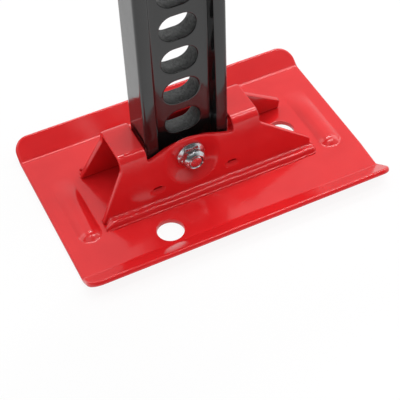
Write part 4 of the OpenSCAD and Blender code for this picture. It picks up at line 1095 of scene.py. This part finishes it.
dome = part(BALL, {"Segments": 72, "Rings": 48, "Radius": total((collar_r, 1.15))},
            total((collar_r, -0.889), plus=top))
collar = add(tree, "GeometryNodeMeshBoolean", {1: [collar, dome]}, operation="INTERSECT",
             solver="EXACT")
has_collar = add(tree, "ShaderNodeMath", {0: collar_h, 1: 0.0001}, operation="GREATER_THAN")
collar = add(tree, "GeometryNodeSwitch", {"Switch": has_collar.outputs[0],
                                          "True": collar.outputs[0]}, input_type="GEOMETRY")
head = add(tree, "GeometryNodeMeshBoolean", {1: [hexagon, rim, slope, collar.outputs[0]]},
           operation="UNION", solver="EXACT").outputs[0]
print("head:", len(tree.nodes), "nodes so far")

# %% The shank of a bolt, or the bore of a nut
shank_r, shank_l = given.outputs["Shank Radius"], given.outputs["Shank Length"]
shank = part(CYLINDER, {"Vertices": 48, "Radius": shank_r,
                        "Depth": total((shank_l, 1), plus=-END_CHAMFER)},
             total((shank_l, -0.5), plus=INTO_HEAD + END_CHAMFER / 2))
point = part(CONE, {"Vertices": 48, "Radius Bottom": total((shank_r, 1), plus=-END_CHAMFER),
                    "Radius Top": shank_r, "Depth": END_CHAMFER * 1.01},
             total((shank_l, -1), plus=INTO_HEAD))
bolt = add(tree, "GeometryNodeMeshBoolean", {1: [head, shank, point]}, operation="UNION",
           solver="EXACT").outputs[0]
bore = part(CYLINDER, {"Vertices": 48, "Radius": shank_r, "Depth": BORE_L})
sink = part(CONE, {"Vertices": 48, "Radius Bottom": total((shank_r, 0.95)),
                   "Radius Top": total((shank_r, 1), plus=END_CHAMFER * 0.6),
                   "Depth": END_CHAMFER * 1.3}, total((top, 1), plus=-END_CHAMFER * 0.95))
nut = add(tree, "GeometryNodeMeshBoolean", {0: head, 1: [bore, sink]}, operation="DIFFERENCE",
          solver="EXACT").outputs[0]
chosen = add(tree, "GeometryNodeSwitch", {"Switch": given.outputs["Is Nut"], "False": bolt,
                                          "True": nut}, input_type="GEOMETRY").outputs[0]
real = add(tree, "GeometryNodeRealizeInstances", {0: chosen})
coated = add(tree, "GeometryNodeSetMaterial", {"Geometry": real.outputs[0], "Material": zinc})
tree.links.new(coated.outputs[0], result.inputs[0])
print("whole tree:", len(tree.nodes), "nodes")

# %% Bolts and nuts in their places
# Their axes on the jack, as in the CAD model
CLAMP_Z, JAW_BOLT_X = 821.5, BAR_X + 24.8 + 12
PIVOT_X, PIVOT_Z = -61.6, 288.5
LINK_X, LINK_Z = -75.257, 212.514
TUBE_X, SOCKET_Z = -65.6, 352.5
# A nut is a little lower than its bolt's head, and its bore a little wider than the shank
NUT_LOWER, BORE_PLAY = 0.4, 0.03
BOLTED = {
    # name: body, x, z, seat from the bar's middle, flats, head height, flange radius and
    # height, shank radius, shank length
    "foot": ("frame", BAR_X, BOLT_Z, 13, 13, 5.3, 8.7, 1.6, 4, 34),
    "clamp": ("frame", BAR_X, CLAMP_Z, 18.3, 19, 7.5, 12, 1.5, 6, 45.6),
    "jaw": ("frame", JAW_BOLT_X, CLAMP_Z, 18.3, 16, 6.4, 10, 1.5, 5, 44.5),
    "pivot": ("large_runner", PIVOT_X, PIVOT_Z, 21.4, 18, 7.5, 8.5, 0.8, 6, 51.1),
    "socket": ("handle", TUBE_X, SOCKET_Z, 21, 13, 5.3, 8.7, 1.6, 4, 48.9),
    "pitman": ("small_runner", LINK_X, LINK_Z, 21.4, 16, 6, 11.5, 2.5, 5, 51.3)}
# The foot nut locks: its hexagon is low, and a round collar stands on it
LOCK_NUT = {"Across Flats": 12.4, "Hex Height": 2.7, "Flange Radius": 8.2, "Collar Radius": 6.5,
            "Collar Height": 3.3}


def fastener(node, body, x, z, seat, side, sizes, is_nut, coat):
    """A bolt or a nut from its sizes in millimetres, on the bar's front or back side."""
    values = {label: size * MM for label, size in sizes.items()}
    maker = with_nodes("fastener_maker", tree, names, {**values, "Is Nut": is_nut})
    soft = maker.modifiers.new("soft_edges", "BEVEL")
    soft.width, soft.segments = 0.22 * MM, 2
    soft.limit_method, soft.angle_limit = "ANGLE", math.radians(28)
    mesh = evaluated(maker)
    mesh.transform(Matrix.Translation(Vector((x, BRACKET_Y + side * seat, z)) * MM)
                   @ Matrix.Rotation(-side * math.pi / 2, 4, "X"))
    put(node + "_forged", mesh, body, coat,
        [node], sharp=32)


for name, (body, x, z, seat, across, head_high, fr, fh, sr, sl) in BOLTED.items():
    sizes = {"Across Flats": across, "Hex Height": head_high, "Flange Radius": fr,
             "Flange Height": fh, "Collar Radius": 1, "Collar Height": 0, "Shank Radius": sr,
             "Shank Length": sl}
    fastener(name + "_bolt", body, x, z, seat, 1, sizes, False,
             spring_steel if name == "pivot" else zinc)
    sizes.update({"Hex Height": head_high - NUT_LOWER, "Shank Radius": sr + BORE_PLAY,
                  "Shank Length": 1})
    if name == "foot":
        sizes.update(LOCK_NUT)
    fastener(name + "_nut", body, x, z, seat, -1, sizes, True, zinc)
print(2 * len(BOLTED), "bolts and nuts")

# %% [markdown]
# ## Pin springs
# Each climbing pin has a coil spring of 1.6 mm wire between its boss and its cross pin. A spiral
# curve swept with a small circle is exactly how the wire is wound. The coil is wound at its open
# length; on the real jack it shortens towards the boss when the pin slides.

# %% Pin springs
SPRING_TURNS, SPRING_R, WIRE = 6.0, 7.95, 1.6
SPRING_Y, SPRING_OPEN, SPRING_CLOSED = -21.85, 25.5, 12.5
tree, given, result, names = node_group("wound_spring", {
    "Turns": (FLOAT, SPRING_TURNS), "Radius": (FLOAT, SPRING_R * MM), "Wire": (FLOAT, WIRE * MM),
    "Length": (FLOAT, (SPRING_OPEN - WIRE) * MM)})
spiral = add(tree, "GeometryNodeCurveSpiral", {
    "Resolution": 36, "Rotations": given.outputs["Turns"],
    "Start Radius": given.outputs["Radius"], "End Radius": given.outputs["Radius"],
    "Height": given.outputs["Length"]})
wire_r = add(tree, "ShaderNodeMath", {0: given.outputs["Wire"], 1: 0.5}, operation="MULTIPLY")
section = add(tree, "GeometryNodeCurvePrimitiveCircle", {"Resolution": 12,
                                                         "Radius": wire_r.outputs[0]})
swept = add(tree, "GeometryNodeCurveToMesh", {"Curve": spiral.outputs[0],
                                              "Profile Curve": section.outputs[0],
                                              "Fill Caps": True})
real = add(tree, "GeometryNodeRealizeInstances", {0: swept.outputs[0]})
coated = add(tree, "GeometryNodeSetMaterial", {"Geometry": real.outputs[0],
                                               "Material": spring_steel})
tree.links.new(coated.outputs[0], result.inputs[0])
for node, body, z, joint in (("upper_pin_spring", "large_runner", 296.5, "upper_pin_slide"),
                             ("lower_pin_spring", "small_runner", 212.5, "lower_pin_slide")):
    maker = with_nodes("spring_maker", tree, names, {
        "Turns": SPRING_TURNS, "Radius": SPRING_R * MM, "Wire": WIRE * MM,
        "Length": (SPRING_OPEN - WIRE) * MM})
    mesh = evaluated(maker)
    mesh.transform(Matrix.Translation(Vector((BAR_X, SPRING_Y - WIRE / 2, z)) * MM)
                   @ Matrix.Rotation(math.pi / 2, 4, "X"))
    work = bmesh.new()
    work.from_mesh(mesh)
    bmesh.ops.recalc_face_normals(work, faces=work.faces)
    work.to_mesh(mesh)
    work.free()
    spring = put(node + "_wound", mesh, body, spring_steel, [node], sharp=60)
    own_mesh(spring)
print("two springs")

# %% [markdown]
# ## Castings
# The runners, the handle socket, the clevis and the jaw are cast iron. A casting has no sharp
# edge anywhere: the sand rounds every corner outside and fills every corner inside. The CAD
# solid is copied, rebuilt from small voxels and relaxed, which does to it what the mould does.


# %% Castings
def solid_copy(node):
    """A merged copy of a CAD node's mesh, in place."""
    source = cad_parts[node]
    work = bmesh.new()
    work.from_mesh(source.data)
    work.transform(source.matrix_world)
    bmesh.ops.remove_doubles(work, verts=work.verts, dist=1e-6)
    mesh = bpy.data.meshes.new(node + "_solid")
    work.to_mesh(mesh)
    work.free()
    return mesh


def casting(node, body, voxel_mm, rounds):
    """A cast piece: the CAD solid with its corners rounded by the mould."""
    thing = mesh_object(node + "_mould", solid_copy(node))
    grains = thing.modifiers.new("grains", "REMESH")
    grains.mode, grains.voxel_size = "VOXEL", voxel_mm * MM
    relax = thing.modifiers.new("relax", "SMOOTH")
    relax.factor, relax.iterations = 0.5, rounds
    mesh = evaluated(thing)
    put(node + "_cast", mesh, body, cast_red, [node])
    print(node, len(mesh.polygons), "faces")


# node, body, voxel size in millimetres, rounds of relaxing
for row in (("large_runner", "large_runner", 1.0, 5), ("small_runner", "small_runner", 1.0, 5),
            ("handle_socket", "handle", 1.0, 4), ("top_clevis", "frame", 1.0, 4),
            ("clamp_jaw", "frame", 1.0, 5), ("reversing_latch", "latch", 0.6, 4)):
    casting(*row)

# %% [markdown]
# ## Turned, drawn and stamped pieces
# The rest is bar, tube and strip: pins, pitmans, the handle's tube and its clip. Their CAD
# solids have the right shape, but a cut edge is never razor sharp. Flat triangles are dissolved
# to whole faces first, and then a small bevel follows every real edge.


# %% Cut edges
def softened(node, body, width_mm, finish, slot):
    """A piece cut from bar or strip: the CAD solid with a small bevel on its edges."""
    mesh = solid_copy(node)
    work = bmesh.new()
    work.from_mesh(mesh)
    bmesh.ops.dissolve_limit(work, angle_limit=math.radians(0.6), verts=work.verts,
                             edges=work.edges)
    work.to_mesh(mesh)
    work.free()
    thing = mesh_object(node + "_blank", mesh)
    soft = thing.modifiers.new("soft_edges", "BEVEL")
    soft.width, soft.segments, soft.limit_method = width_mm * MM, 2, "ANGLE"
    soft.angle_limit = math.radians(35)
    soft.use_clamp_overlap = True
    put(node + "_finished", evaluated(thing), body, finish, [node], sharp=30)


CUT_PIECES = [
    # node, body, bevel in millimetres, finish, material slot
    ("handle_tube", "handle", 0.5, tube_enamel, "black_enamel"),
    ("handle_end_plug", "handle", 0.3, black_plastic, "black_plastic"),
    ("pitman_front", "pitmans", 0.8, red_enamel, "red_enamel"),
    ("pitman_back", "pitmans", 0.8, red_enamel, "red_enamel"),
    ("pitman_pins", "handle", 0.4, zinc, "zinc_plate"),
    ("upper_climbing_pin", "upper_pin", 0.5, pin_steel, "zinc_plate"),
    ("lower_climbing_pin", "lower_pin", 0.5, pin_steel, "zinc_plate"),
    ("upper_cross_pin", "upper_pin", 0.4, spring_steel, "spring_steel"),
    ("lower_cross_pin", "lower_pin", 0.4, spring_steel, "spring_steel"),
    ("latch_pin", "large_runner", 0.4, zinc, "zinc_plate"),
    ("handle_clip", "frame", 0.4, spring_steel, "spring_steel"),
    ("clip_screws", "frame", 0.4, zinc, "zinc_plate")]
for row in CUT_PIECES:
    softened(*row)
print("all", len(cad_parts), "nodes are dressed")
